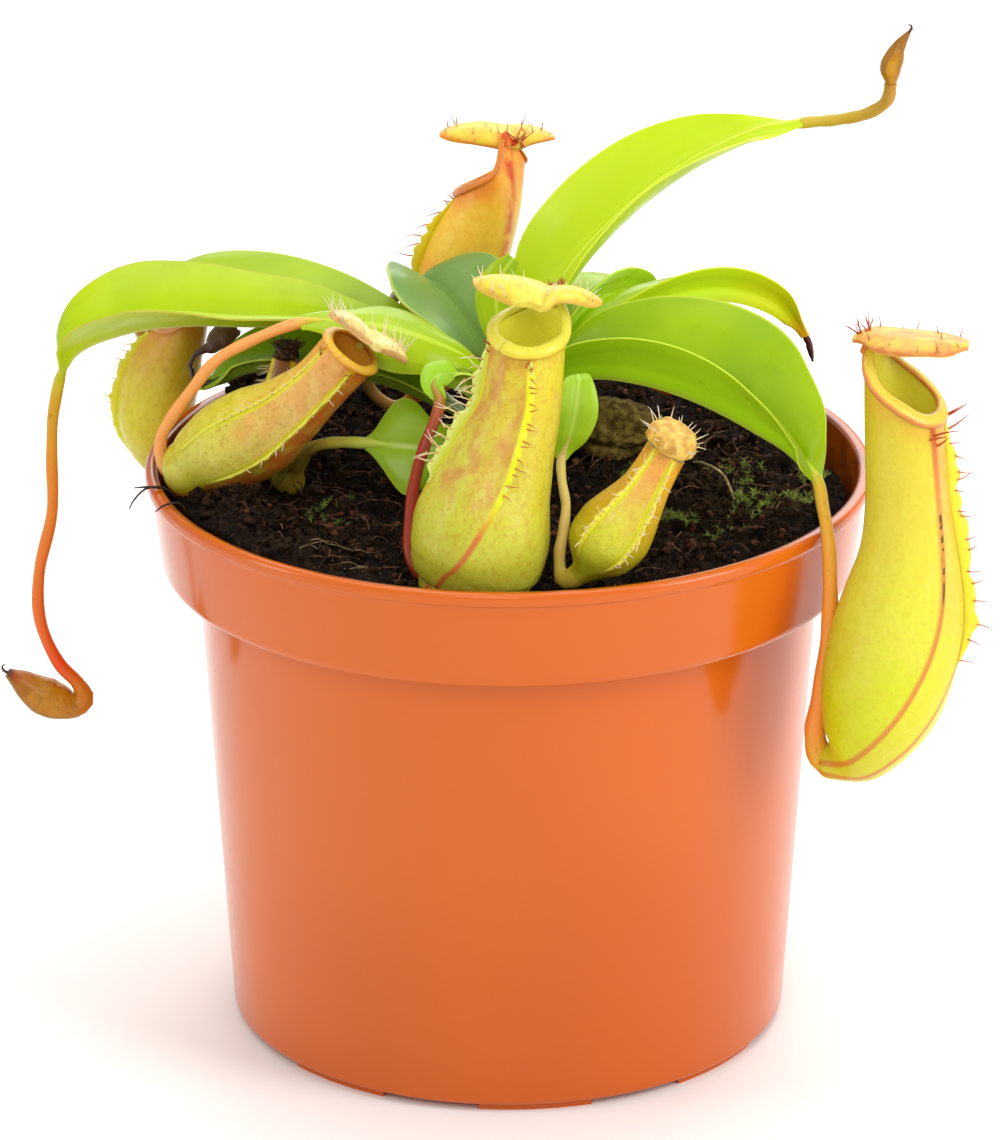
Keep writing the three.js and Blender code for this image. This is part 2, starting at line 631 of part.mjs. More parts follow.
    blade: {
      widths: [1.2, 2.1, 7.3, 10.5, 10, 6, 1.1],
      reach: [1.45, 1],
      spread: [[[-0.5, -0.1, 0.85], [0.7, 0.2, 0.6]], [[-0.9, -0.1, 0.3], [0.8, 0.2, 0.45]]],
    },
    tendril: [
      [-20, 33.5, 112.5], [-23, 36.5, 106], [-24.5, 38.5, 99.5],
      [-23, 39.5, 94.5], [-19.5, 39.5, 92],
    ],
    cup: [
      [-16.5, 39.5, 93.5], [-13.5, 38.8, 99], [-10.8, 37.8, 107],
      [-7.8, 36.7, 117], [-4.5, 35.6, 127], [-2.2, 34.8, 134.6],
    ],
    cupShape: {
      radii: [1.2, 6, 6.9, 6.7, 6.4, 5.9, 5.3], front: [-0.8, 0.6, 0], mouth: [-0.42, 0.25, 0.87], neck: 1.5,
      wings: [1.8, 1.8], sides: 14, steps: 10, hairs: 6,
    },
    lid: {
      line: [[1, 32.5, 140.6], [0.7, 34, 141.6], [0, 36.5, 142.2], [-0.8, 39, 142.4]],
      widths: [2, 8, 8.7, 7, 2],
      reach: [1.45, 0.75],
      spread: [[[-1, 0, 0.1], [1, 0, 0]], [[-1, 0.1, 0], [1, 0.1, -0.15]]],
    },
  },
  {
    name: "young",
    material: greenLeaf,
    leaf: [[-0.3, 2, 115.9], [-1.6, 2.2, 120], [-2, 3.2, 125], [-0.8, 4.5, 128.5], [0.8, 5.5, 130.5]],
    blade: {
      widths: [1.8, 2.6, 3.2, 3.4, 2.6, 1.2],
      spread: [[[-1, 0, 0], [1, 0.3, 0]], [[-1, 0, 0], [1, 0.3, 0]]],
      steps: 9,
    },
  },
  {
    name: "upright_long",
    material: limeLeaf,
    leaf: [
      [2.5, 3.9, 112], [6, 6, 119], [10.5, 8.5, 126.8], [16, 11, 132.7], [24, 14, 139.2],
      [33, 16.5, 144.4], [42, 18, 147.9], [48.5, 18, 149.7],
    ],
    blade: {
      widths: [1.5, 6.5, 10.5, 11.5, 11.5, 10.5, 8, 4, 1],
      spread: [[[0, -0.93, 0.37], [-0.35, 0.6, 0.7]], [[0, -0.93, 0.37], [-0.35, 0.6, 0.7]]],
      steps: 15,
    },
    tendril: [[54, 17.5, 150.4], [59.3, 16.3, 152], [62.2, 15.3, 154.5]],
    bud: [[62.7, 15, 157.5], [62.7, 15, 160.5], [63.7, 15, 163.5], [65.5, 15, 166.2]],
    budShape: { radii: [0.9, 1.7, 1.5, 0.6, 0.35], sides: 8 },
  },
  {
    name: "right_back_dull",
    material: greenLeaf,
    leaf: [
      [2, 5.6, 103], [4.5, 9.5, 109.5], [8.5, 15, 114.5],
      [14, 22.5, 116.5], [20, 30, 115.7], [25.5, 36.5, 112.4],
    ],
    blade: {
      widths: [1.4, 3, 6.5, 8, 6, 1],
      spread: [[[-0.5, 0.5, 0.7], [0.4, -0.2, 0.85]], [[-0.6, 0.75, 0.15], [0.6, -0.4, 0.7]]],
    },
    tendril: [[27.5, 38.8, 110.4], [28.6, 40, 108.2]],
    radii: [0.9, 0.9, 0.5],
    withered: true,
  },
  {
    name: "right_back",
    material: limeLeaf,
    leaf: [
      [3.7, 3.3, 104], [8.5, 5.5, 110.5], [16, 9.5, 116.5], [26, 14, 120],
      [36, 19, 119.7], [44.5, 23.5, 115.6], [49.7, 26.5, 109.8],
    ],
    blade: {
      widths: [1.4, 2.8, 6, 6.5, 6.5, 5, 1.2],
      spread: [[[-0.3, 0.75, 0.5], [0.2, -0.5, 0.85]], [[-0.4, 0.9, 0], [0.2, -0.6, 0.75]]],
    },
    tendril: [[50.8, 27, 107], [51.2, 27.3, 104.6]],
    radii: [0.9, 1.1, 0.5],
    withered: true,
  },
  {
    name: "right_front",
    material: greenLeaf,
    leaf: [
      [3.8, 0.6, 106.5], [7, -1.5, 111.5], [13, -5, 114.5], [21.5, -9, 115], [31, -14, 113.5],
      [40, -19, 110.3], [46, -23, 107.5], [49.7, -27, 104],
    ],
    blade: {
      widths: [1.5, 4.5, 10, 13.5, 15, 14, 9, 1.2],
      spread: [[[0.22, 0.38, 0.9], [-0.33, -0.56, 0.76]], [[0.6, 0.5, 0.8], [-0.33, -0.56, 0.76]]],
      reach: [1.08, 1],
      steps: 14,
    },
    tendril: [
      [50.6, -30.5, 100.5], [51.4, -33.9, 96.5], [51.7, -35.5, 92], [51.8, -36.3, 85],
      [51.4, -36.5, 77], [50.4, -36.3, 69], [49.7, -36, 63.5], [50.6, -36.1, 59.6],
    ],
    cup: [
      [52.8, -36.6, 58.2], [56.3, -37.1, 60.6], [60, -37.7, 66], [63.4, -38, 78.6],
      [64.7, -38, 94.2], [63.3, -38, 109.7], [62.2, -38, 123],
    ],
    cupShape: {
      radii: [1.3, 6.7, 9.8, 10.4, 9.2, 7.2, 6.1, 5.9, 6.2],
      front: [0.9, -0.43, 0], mouth: [0.5, -0.3, 0.8], stretch: 1.3,
      neck: 2.2, wings: [1.4, 2.6], steps: 14, hairs: 8,
    },
    lid: {
      line: [
        [54.8, -36.2, 131.3], [58, -36.8, 132.4], [63, -37.5, 132.3],
        [68.5, -38, 131.8], [73, -38.5, 131],
      ],
      widths: [2.5, 6, 7, 6.5, 5, 1.5],
      spread: [[[0, 0.93, -0.37], [0, -0.9, 0]], [[0, 0.93, -0.37], [0, -0.9, 0.1]]],
    },
  },
  {
    name: "small_oval",
    material: greenLeaf,
    leaf: [
      [2.6, -1.1, 101], [5, -6, 106], [8, -12, 112], [10.2, -17, 117.2], [11.3, -20.5, 119.2],
      [11, -23, 115.5], [9.9, -24, 110.7], [8.5, -24.5, 106.5],
    ],
    blade: {
      widths: [1.4, 1.8, 2.4, 3.3, 3.7, 3.7, 2.9, 1],
      spread: [[[1, 0.3, 0], [-1, -0.3, 0]], [[0.9, 0.2, 0.2], [-0.9, -0.3, 0]]],
      steps: 15,
    },
    tendril: [
      [8.6, -27, 103.8], [9.2, -31, 101], [8.8, -35.5, 98.5],
      [8.1, -40, 95.5], [8.8, -43.3, 93],
    ],
    radii: [0.75, 0.8, 0.95, 1.1],
    bud: [[11.5, -44.3, 94.5], [15.3, -44, 99.5], [20.4, -43.3, 106.5], [25, -42, 114.2]],
    budShape: {
      radii: [1.2, 5.4, 6.3, 5.6, 4.3, 3.6, 3.4], front: [-0.2, -1, 0],
      wings: [0.9, 0.9], sides: 12, steps: 11,
    },
    cap: {
      foot: [25.4, -42, 115.3], axis: [0.45, -0.2, 0.85],
      profile: [[3, 0], [3.9, 0.5], [4, 1.8], [3.4, 3.2], [1.9, 4.2], [0.6, 4.4]],
      points: 8, reach: { height: 1.8, radius: 3.6, length: 2.4 }, skin: lidSkin,
    },
  },
  {
    name: "left_low",
    material: greenLeaf,
    leaf: [
      [-4, 2.1, 101.5], [-10, 5, 105], [-20, 10, 107.8],
      [-33, 14.5, 109.1], [-44, 16, 107.7], [-51.5, 16, 104.5],
    ],
    blade: {
      widths: [1.4, 3, 5, 7, 6.5, 1],
      reach: [0.6, 1],
      spread: [[[0, -0.9, 0.5], [0, 0.9, 0.5]], [[0, -0.93, 0.37], [0, 0.6, 0.8]]],
    },
    tendril: [
      [-53, 16, 107.5], [-52.2, 16, 109.8], [-49.6, 16.2, 111.2],
      [-47.8, 16.3, 113], [-45, 16.4, 114],
    ],
    radii: [0.8, 0.7, 0.7, 0.8, 1, 1.7, 1.8, 0.9],
    withered: true,
  },
];

// Builds an organ's blade, tendril, pitcher and lid as nodes of their own
function addOrgan(organ) {
  const { name, material, leaf, tendril: route = [], radii = TENDRIL_RADII, cup, bud: shut } = organ;
  const line = [...leaf, ...route, ...(cup ?? shut ?? [])];
  const curve = new THREE.CatmullRomCurve3(line.map((p) => point(...p)));
  const tip = leaf.length - 1;
  const neck = Math.min(leaf.length + route.length, line.length - 1);
  add("leaf_" + name, blade(curve, 0, tip, organ.blade), material);
  const routeSkin = organ.withered ? driedSkin : tendrilSkin;
  if (route.length) add("tendril_" + name, tendril(curve, tip, neck, radii), routeSkin);
  if (cup) add("pitcher_" + name, pitcher(curve, neck, line.length - 1, organ.cupShape), pitcherSkin);
  if (shut) add("bud_" + name, bud(curve, neck, line.length - 1, organ.budShape), pitcherSkin);
  if (organ.lid) add("lid_" + name, lid(organ.lid), lidSkin);
  if (organ.cap) add("lid_" + name, cap(organ.cap), organ.cap.skin);
}

add("pot", pot(), potPlastic);
add("soil", soil(), peat);
add("stem", stem(), stemSkin);
add("bark_lump", barkLump(), barkSkin);
ORGANS.forEach(addOrgan);

export default plant;
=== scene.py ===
# Potted pitcher plant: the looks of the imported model, in metres. The tables below are in millimetres.
import math
import random

import bmesh
import bpy
from mathutils import Matrix, Vector, noise


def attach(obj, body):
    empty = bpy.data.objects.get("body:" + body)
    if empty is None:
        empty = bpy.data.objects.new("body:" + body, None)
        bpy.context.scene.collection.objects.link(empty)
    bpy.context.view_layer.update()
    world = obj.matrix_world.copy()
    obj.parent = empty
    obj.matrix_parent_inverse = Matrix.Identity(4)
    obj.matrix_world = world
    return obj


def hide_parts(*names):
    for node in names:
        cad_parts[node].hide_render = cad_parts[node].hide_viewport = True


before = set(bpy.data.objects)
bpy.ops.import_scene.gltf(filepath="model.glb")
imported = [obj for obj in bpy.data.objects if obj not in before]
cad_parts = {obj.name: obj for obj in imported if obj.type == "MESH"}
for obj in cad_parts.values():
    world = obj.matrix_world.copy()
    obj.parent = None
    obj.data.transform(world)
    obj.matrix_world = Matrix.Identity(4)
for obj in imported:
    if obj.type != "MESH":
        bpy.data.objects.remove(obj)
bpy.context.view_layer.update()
dice = random.Random(11)

MM = 0.001
TAU = 2 * math.pi

# Sizes shared with the frame
RIM_RADIUS = 60
POT_HEIGHT = 96.8
COLLAR_DROP = 17.3
COLLAR_LOW_RADIUS = 57.2
BODY_TOP_RADIUS = 51.5
BASE_RADIUS = 46.4
WALL = 1.4
FOOT_HEIGHT = 1.2
FOOT_COUNT = 8
FOOT_LENGTH = 18
FOOT_OUTER_RADIUS = 45
FOOT_INNER_RADIUS = 41
CENTRE_FOOT_RADIUS = 7
DRAIN_COUNT = 6
DRAIN_RADIUS = 4
DRAIN_RING_RADIUS = 27
SOIL_LEVEL = 91.5
NESTS = [(-4, -43, 17, 90.2), (-47, -8, 13, 91.5), (15, -44, 12, 90.8), (-36.5, 3, 9, 90.6), (-15, 38, 12, 90.6)]
MOUNDS = [
    (-43, -18, 4, 3.4), (-34, -30, 4, 1.2), (-44, 24, 4.5, 5.5), (-38, 29, 4.5, 5), (-48, 9, 4, 3),
    (33, 2, 5, 1.2), (24, -26, 5, 1), (42, -12, 5, 1),
]
STEM = (0, 2)
BLADE_HALF = 0.4
KEEL_DEPTH = 1.1
TENDRIL_RADII = [0.95, 1, 1.1]
CUP_WALL = 0.7


# Small helpers
def rgb(code):
    shares = [((code >> shift) & 255) / 255 for shift in (16, 8, 0)]
    linear = [c / 12.92 if c <= 0.04045 else ((c + 0.055) / 1.055) ** 2.4 for c in shares]
    return (*linear, 1)


def clamp(value, low=0.0, high=1.0):
    return min(max(value, low), high)


def ease(value):
    value = clamp(value)
    return value * value * (3 - 2 * value)


def smooth(values, t):
    """A value read from a short list along 0 to 1, on a smooth curve through its numbers."""
    last = len(values) - 1
    x = clamp(t) * last
    i = min(int(x), last - 1)
    f = x - i
    a, b, c, d = [values[min(max(n, 0), last)] for n in (i - 1, i, i + 1, i + 2)]
    bend = (2 * a - 5 * b + 4 * c - d) * f * f
    twist = (3 * b - a - 3 * c + d) * f * f * f
    return b + 0.5 * ((c - a) * f + bend + twist)


def square_to(direction, axis):
    return (direction - axis * direction.dot(axis)).normalized()


def rough(place, size, seed=0):
    """Smooth noise from -1 to 1, with lumps of about that size in millimetres."""
    return noise.noise(Vector(place) / size + Vector((seed * 7.3, seed * 3.1, seed * 5.7)))


# Lines through control points
def hermite(p0, p1, p2, p3, f):
    d0, d1, d2 = [max((b - a).length, 1e-6) ** 0.5 for a, b in ((p0, p1), (p1, p2), (p2, p3))]
    start = ((p1 - p0) / d0 - (p2 - p0) / (d0 + d1) + (p2 - p1) / d1) * d1
    end = ((p2 - p1) / d1 - (p3 - p1) / (d1 + d2) + (p3 - p2) / d2) * d1
    square = -3 * p1 + 3 * p2 - 2 * start - end
    cube = 2 * p1 - 2 * p2 + start + end
    return p1 + start * f + square * f * f + cube * f * f * f


def on_line(points, x):
    last = len(points) - 1
    x = clamp(x, 0, last)
    i = min(int(x), last - 1)
    before = points[i - 1] if i else points[0] * 2 - points[1]
    after = points[i + 2] if i + 2 <= last else points[last] * 2 - points[last - 1]
    return hermite(before, points[i], points[i + 1], after, x - i)


class Route:
    """Part of a line, from one control point to another, read by its share of the length."""

    def __init__(self, points, first, last):
        steps = max(int(30 * (last - first)), 30)
        marks = [first + (last - first) * n / steps for n in range(steps + 1)]
        self.spots = [on_line(points, x) for x in marks]
        self.travelled = [0.0]
        for a, b in zip(self.spots, self.spots[1:]):
            self.travelled.append(self.travelled[-1] + (b - a).length)
        self.length = self.travelled[-1]

    def at(self, t):
        wanted = t * self.length
        last = len(self.spots) - 1
        i = next((n for n in range(1, last) if self.travelled[n] >= wanted), last)
        span = self.travelled[i] - self.travelled[i - 1]
        f = (wanted - self.travelled[i - 1]) / span
        centre = self.spots[i - 1].lerp(self.spots[i], f)
        return centre, self.way(i - 1).lerp(self.way(i), clamp(f)).normalized()

    def way(self, i):
        low, high = max(i - 1, 0), min(i + 1, len(self.spots) - 1)
        return (self.spots[high] - self.spots[low]).normalized()


# Meshes
def lay(bm, rows, fields=None):
    """A sheet of faces through rows of places in millimetres, with a UV map and named values at its corners."""
    fields = fields or {}
    wide, long = len(rows[0]) - 1, len(rows) - 1
    if not bm.loops.layers.uv:
        bm.loops.layers.uv.new("UVMap")
    layers = {name: layer_of(bm, name) for name in fields}
    made = bmesh.ops.create_grid(bm, x_segments=wide, y_segments=long, size=0.5, calc_uvs=True)["verts"]
    for vert in made:
        i = round((vert.co.x + 0.5) * wide)
        j = round((vert.co.y + 0.5) * long)
        for name, values in fields.items():
            vert[layers[name]] = values[j][i]
        vert.co = rows[j][i] * MM
    return made


def layer_of(bm, name):
    return bm.verts.layers.float.get(name) or bm.verts.layers.float.new(name)


def piece(name, bm, material, nodes=(), turn=True, sharp=60):
    """Finishes a mesh as a piece that rides on the root body and stands for CAD nodes."""
    bmesh.ops.remove_doubles(bm, verts=bm.verts, dist=2e-6)
    if turn:
        bmesh.ops.recalc_face_normals(bm, faces=bm.faces)
    for face in bm.faces:
        face.smooth = True
    for edge in bm.edges:
        edge.smooth = edge.calc_face_angle(0) < math.radians(sharp)
    mesh = bpy.data.meshes.new(name)
    bm.to_mesh(mesh)
    bm.free()
    mesh.materials.append(material)
    made = bpy.data.objects.new(name, mesh)
    bpy.context.scene.collection.objects.link(made)
    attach(made, "root")
    if nodes:
        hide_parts(*nodes)
    return made


def ring(centre, axis, ahead, sides, radius_at, lift_at=lambda angle: 0):
    """A closed ring of places round an axis; the last place is the first again."""
    ahead = square_to(ahead, axis)
    beside = axis.cross(ahead)
    places = []
    for k in range(sides + 1):
        angle = (k % sides) * TAU / sides
        spoke = ahead * math.cos(angle) + beside * math.sin(angle)
        places.append(centre + spoke * radius_at(angle) + axis * lift_at(angle))
    return places


def pole(place, sides):
    return [place.copy() for _ in range(sides + 1)]


def tube(bm, line, radius_at, sides=10, fields=None, ahead=Vector((0.3, -1, 0.2))):
    """A round tube along a list of places, closed at both ends, with its share of the length as a value."""
    rows = [pole(line[0], sides)]
    last = len(line) - 1
    for n, centre in enumerate(line):
        along = (line[min(n + 1, last)] - line[max(n - 1, 0)]).normalized()
        ahead = square_to(ahead, along)
        rows.append(ring(centre, along, ahead, sides, lambda angle: radius_at(n / last)))
    rows.append(pole(line[last], sides))
    shares = [clamp((j - 1) / last) for j in range(len(rows))]
    values = {"along": [[share] * (sides + 1) for share in shares]}
    for name, value in (fields or {}).items():
        values[name] = [[value] * (sides + 1) for _ in rows]
    return lay(bm, rows, values)


def hair(bm, root, direction, length, radius=0.16, bend=0.25, fields=None):
    """A tapered hair that starts a little under the surface and bends to one side."""
    direction = direction.normalized()
    side = square_to(Vector((dice.uniform(-1, 1), dice.uniform(-1, 1), dice.uniform(-1, 1))), direction)
    line = []
    for n in range(5):
        share = n / 4
        line.append(root + direction * (length * share - 0.3) + side * (bend * length * share * share))
    tube(bm, line, lambda t: radius * (1.02 - 0.85 * t), 5, fields)


# Materials
class Paint:
    """The nodes of one material. Patterns read Object coordinates or the piece's own values."""

    def __init__(self, name, color=0x808080, roughness=0.5, **sockets):
        self.material = bpy.data.materials.new(name)
        self.material.use_nodes = True
        self.tree = self.material.node_tree
        self.surface = self.tree.nodes["Principled BSDF"]
        self.surface.inputs["Base Color"].default_value = rgb(color)
        self.surface.inputs["Roughness"].default_value = roughness
        for socket, value in sockets.items():
            self.surface.inputs[socket.replace("_", " ")].default_value = value
        self.object_place = self.tree.nodes.new("ShaderNodeTexCoord").outputs["Object"]
        self.normal = None

    def give(self, socket, value):
        if isinstance(value, bpy.types.NodeSocket):
            self.tree.links.new(value, socket)
        elif isinstance(value, int) and socket.type == "RGBA":
            socket.default_value = rgb(value)
        else:
            socket.default_value = value

    def value(self, name):
        node = self.tree.nodes.new("ShaderNodeAttribute")
        node.attribute_name = name
        return node.outputs["Fac"]

    def noise(self, size, detail=3, stretch=(1, 1, 1), distortion=0.0, seed=0):
        """Noise from 0 to 1, with lumps of about that size in millimetres."""
        mapping = self.tree.nodes.new("ShaderNodeMapping")
        mapping.inputs["Location"].default_value = (seed * 3.7, seed * 1.9, seed * 5.3)
        mapping.inputs["Scale"].default_value = [s / (size * MM) for s in stretch]
        self.give(mapping.inputs["Vector"], self.object_place)
        node = self.tree.nodes.new("ShaderNodeTexNoise")
        node.inputs["Scale"].default_value = 1
        node.inputs["Detail"].default_value = detail
        node.inputs["Distortion"].default_value = distortion
        self.give(node.inputs["Vector"], mapping.outputs["Vector"])
        return node.outputs["Fac"]

    def cells(self, size, feature="F1"):
        node = self.tree.nodes.new("ShaderNodeTexVoronoi")
        node.feature = feature
        node.inputs["Scale"].default_value = 1 / (size * MM)
        self.give(node.inputs["Vector"], self.object_place)
        return node.outputs["Distance"]

    def math(self, kind, a, b=0.0, clamped=False):
        node = self.tree.nodes.new("ShaderNodeMath")
        node.operation = kind
        node.use_clamp = clamped
        self.give(node.inputs[0], a)
        self.give(node.inputs[1], b)
        return node.outputs["Value"]

    def span(self, value, low, high, out_low=0.0, out_high=1.0):
        """A value's range stretched to another, held at its ends."""
        node = self.tree.nodes.new("ShaderNodeMapRange")
        node.interpolation_type = "SMOOTHSTEP"
        self.give(node.inputs["Value"], value)
        for name, number in zip(("From Min", "From Max", "To Min", "To Max"), (low, high, out_low, out_high)):
            node.inputs[name].default_value = number
        return node.outputs["Result"]

    def ramp(self, factor, stops):
        node = self.tree.nodes.new("ShaderNodeValToRGB")
        elements = node.color_ramp.elements
        while len(elements) < len(stops):
            elements.new(0.5)
        for element, (place, color) in zip(elements, stops):
            element.position = place
            element.color = rgb(color)
        self.give(node.inputs["Fac"], factor)
        return node.outputs["Color"]

    def mix(self, factor, a, b, kind="MIX"):
        node = self.tree.nodes.new("ShaderNodeMix")
        node.data_type = "RGBA"
        node.blend_type = kind
        colors = [s for s in node.inputs if s.type == "RGBA"]
        self.give(node.inputs["Factor"], factor)
        self.give(colors[0], a)
        self.give(colors[1], b)
        return next(s for s in node.outputs if s.type == "RGBA")

    def color(self, value):
        self.give(self.surface.inputs["Base Color"], value)

    def roughness(self, value):
        self.give(self.surface.inputs["Roughness"], value)

    def bump(self, height, depth, strength=1.0):
        """Relief of that depth in millimetres, on top of any relief given before."""
        node = self.tree.nodes.new("ShaderNodeBump")
        node.inputs["Distance"].default_value = depth * MM
        node.inputs["Strength"].default_value = strength
        self.give(node.inputs["Height"], height)
        if self.normal:
            self.give(node.inputs["Normal"], self.normal)
        self.normal = node.outputs["Normal"]
        self.give(self.surface.inputs["Normal"], self.normal)


def flesh(name, roughness=0.35, depth=0.15, **sockets):
    """Living tissue that lets some light in."""
    sockets = {"Specular_IOR_Level": 0.3, **sockets}
    paint = Paint(name, roughness=roughness, Subsurface_Weight=depth, Subsurface_Scale=0.002, **sockets)
    paint.surface.inputs["Subsurface Radius"].default_value = (1.0, 0.7, 0.25)
    return paint


def leaf_paint(name, base, deep, pale, rib, under, margin=0xD0DC48, tip=None):
    """A waxy blade: soft colour changes, a pale margin, faint lengthwise veins, a rib, and painted light on its lower
    face.
    """
    paint = flesh(name, 0.34, 0.1, Specular_IOR_Level=0.25)
    across = paint.math("ABSOLUTE", paint.value("across"))
    fine = paint.noise(9, 4)
    broad = paint.noise(26, 2, seed=2)
    body = paint.mix(paint.span(broad, 0.35, 0.7), base, deep)
    body = paint.mix(paint.math("MULTIPLY", paint.span(fine, 0.45, 0.8), 0.35), body, pale)
    body = paint.mix(paint.span(paint.value("along"), 0.0, 0.3, 0.45, 0.0), body, deep)
    veins = paint.math("SINE", paint.math("MULTIPLY", across, 20.0))
    body = paint.mix(paint.span(veins, 0.9, 1.0, 0, 0.06), body, pale)
    # Painted light: the lower face takes the under colour, mostly set lighter than the top to stand in for light
    # shining through the blade.
    body = paint.mix(paint.span(paint.value("under"), 0.4, 0.6), body, under)
    body = paint.mix(paint.span(paint.value("rib"), 0.3, 0.9, 0, 0.7), body, rib)
    body = paint.mix(paint.span(across, 0.965, 0.995, 0, 0.5), body, margin)
    if tip:
        body = paint.mix(paint.span(paint.value("along"), 0.6, 0.85), body, tip[0])
        body = paint.mix(paint.span(paint.value("along"), 0.88, 1.0), body, tip[1])
    paint.color(body)
    paint.roughness(paint.span(paint.noise(5, 3, seed=4), 0.3, 0.7, 0.26, 0.42))
    paint.bump(veins, 0.012)
    paint.bump(paint.noise(2.2, 3), 0.03)
    paint.bump(paint.noise(0.35, 2), 0.006)
    return paint.material


def vine_paint(name, stops, speck=0x5A2A12, specks=0.35):
    """A tendril: colour along its length, a few dark specks and fine lengthwise relief."""
    paint = flesh(name, 0.33, 0.1)
    along = paint.value("along")
    shifted = paint.math("ADD", along, paint.math("MULTIPLY", paint.noise(6, 2), 0.12))
    body = paint.ramp(paint.math("SUBTRACT", shifted, 0.06), stops)
    marks = paint.span(paint.noise(0.8, 2, seed=3), 0.66, 0.74, 0, specks)
    paint.color(paint.mix(marks, body, speck))
    paint.bump(paint.noise(0.7, 3, (1, 1, 0.3)), 0.06)
    return paint.material


def cup_paint(name, skin):
    """A pitcher's skin: one run of colour up its back, one between its wings, flecks, wing lines and a flush."""
    paint = flesh(name, 0.3, 0.14)
    mottle = skin.get("mottle", 1)
    height = paint.value("height")
    cloud = paint.math("MULTIPLY", paint.math("SUBTRACT", paint.noise(5, 4), 0.5), 0.42)
    wanted = paint.math("ADD", height, cloud)
    back = paint.ramp(wanted, skin["back"])
    front = paint.ramp(wanted, skin["front"])
    if "blush" in skin:
        patches = paint.span(paint.noise(3.6, 6, (1, 1, 0.55), 0.4, 11), 0.36, 0.64, 0, skin["blush"][0])
        patches = paint.math("MULTIPLY", patches, paint.span(height, 0.28, 0.42))
        front = paint.mix(patches, front, skin["blush"][1])
    body = paint.mix(paint.value("front"), back, front)
    flecks = paint.span(paint.noise(0.75, 3, seed=1), 0.5, 0.68, 0, 0.4 * mottle)
    body = paint.mix(flecks, body, skin["fleck"])
    blotch = paint.span(paint.noise(2.6, 4, seed=8), 0.55, 0.72, 0, 0.3 * mottle)
    body = paint.mix(blotch, body, skin["fleck"])
    pale = paint.span(paint.noise(1.9, 4, (1, 1, 0.5), seed=5), 0.52, 0.74, 0, 0.3 * mottle)
    body = paint.mix(pale, body, skin["pale"])
    flush = paint.math("MULTIPLY", paint.value("flush"), paint.span(paint.noise(3, 3, seed=7), 0.25, 0.6))
    body = paint.mix(flush, body, skin["flush"])
    line = paint.span(paint.value("ridge"), 0.3, 0.85)
    body = paint.mix(line, body, paint.ramp(height, skin["ridge"]))
    if "seam" in skin:
        low, high, dark = skin["seam"]
        near = paint.math("MULTIPLY", paint.span(height, low, low + 0.03), paint.span(height, high, high + 0.03, 1, 0))
        broken = paint.math("MULTIPLY", near, paint.span(paint.noise(1.1, 2, seed=6), 0.46, 0.54))
        core = paint.math("MULTIPLY", broken, paint.span(paint.value("ridge"), 0.72, 0.9))
        body = paint.mix(core, body, dark)
    inside = paint.ramp(paint.math("ADD", height, paint.math("MULTIPLY", cloud, 0.4)), skin["inside"])
    body = paint.mix(paint.value("inner"), body, inside)
    paint.color(body)
    paint.roughness(paint.span(paint.noise(2.5, 3, seed=9), 0.3, 0.7, 0.24, 0.4))
    paint.bump(paint.noise(1.6, 4, seed=3), 0.16)
    paint.bump(paint.noise(0.4, 2), 0.03)
    return paint.material


def lip_paint(name, stops):
    """The thick lip: fine ribs across it, and colour from its outer edge to its inner edge."""
    paint = flesh(name, 0.25, 0.2, Coat_Weight=0.3, Coat_Roughness=0.15)
    turn = paint.value("turn")
    body = paint.ramp(paint.math("ADD", turn, paint.math("MULTIPLY", paint.noise(2.5, 2), 0.1)), stops)
    ribs = paint.math("SINE", paint.math("MULTIPLY", paint.value("round"), 640.0))
    paint.color(paint.mix(paint.span(ribs, 0.2, 1.0, 0, 0.08), body, 0xC8841C))
    paint.bump(ribs, 0.014)
    return paint.material


def wing_paint(name, stops):
    paint = flesh(name, 0.35, 0.2)
    out = paint.math("ADD", paint.value("out"), paint.math("MULTIPLY", paint.noise(1.2, 2), 0.2))
    paint.color(paint.ramp(paint.math("SUBTRACT", out, 0.1), stops))
    paint.bump(paint.noise(0.7, 3), 0.08)
    return paint.material


def hair_paint(name, stops):
    paint = flesh(name, 0.4, 0.2)
    paint.color(paint.ramp(paint.value("along"), stops))
    return paint.material


def lid_paint(name, top, patch, edge, vein, under):
    """A lid: mottled skin with a coloured edge, a network of veins and a paler underside."""
    paint = flesh(name, 0.38, 0.16)
    across = paint.math("ABSOLUTE", paint.value("across"))
    body = paint.mix(paint.span(paint.noise(3.2, 4), 0.4, 0.66), top, patch)
    body = paint.mix(paint.span(paint.noise(0.9, 3, seed=2), 0.52, 0.7, 0, 0.4), body, vein)
    body = paint.mix(paint.span(paint.value("under"), 0.4, 0.6), body, under)
    rim = paint.math("ADD", across, paint.math("MULTIPLY", paint.noise(1.5, 2), 0.2))
    body = paint.mix(paint.span(rim, 0.95, 1.1, 0, 0.6), body, edge)
    paint.color(body)
    paint.bump(paint.noise(1.1, 4), 0.14)
    return paint.material


def dry_paint(name, dark, light, lumps=1.4, roughness=0.8, gloss=0.3):
    """Dried or woody stuff."""
    paint = Paint(name, roughness=roughness, Specular_IOR_Level=gloss)
    paint.color(paint.mix(paint.span(paint.noise(lumps, 5), 0.35, 0.68), dark, light))
    paint.bump(paint.noise(lumps * 0.8, 5, seed=2), 0.35)
    return paint.material


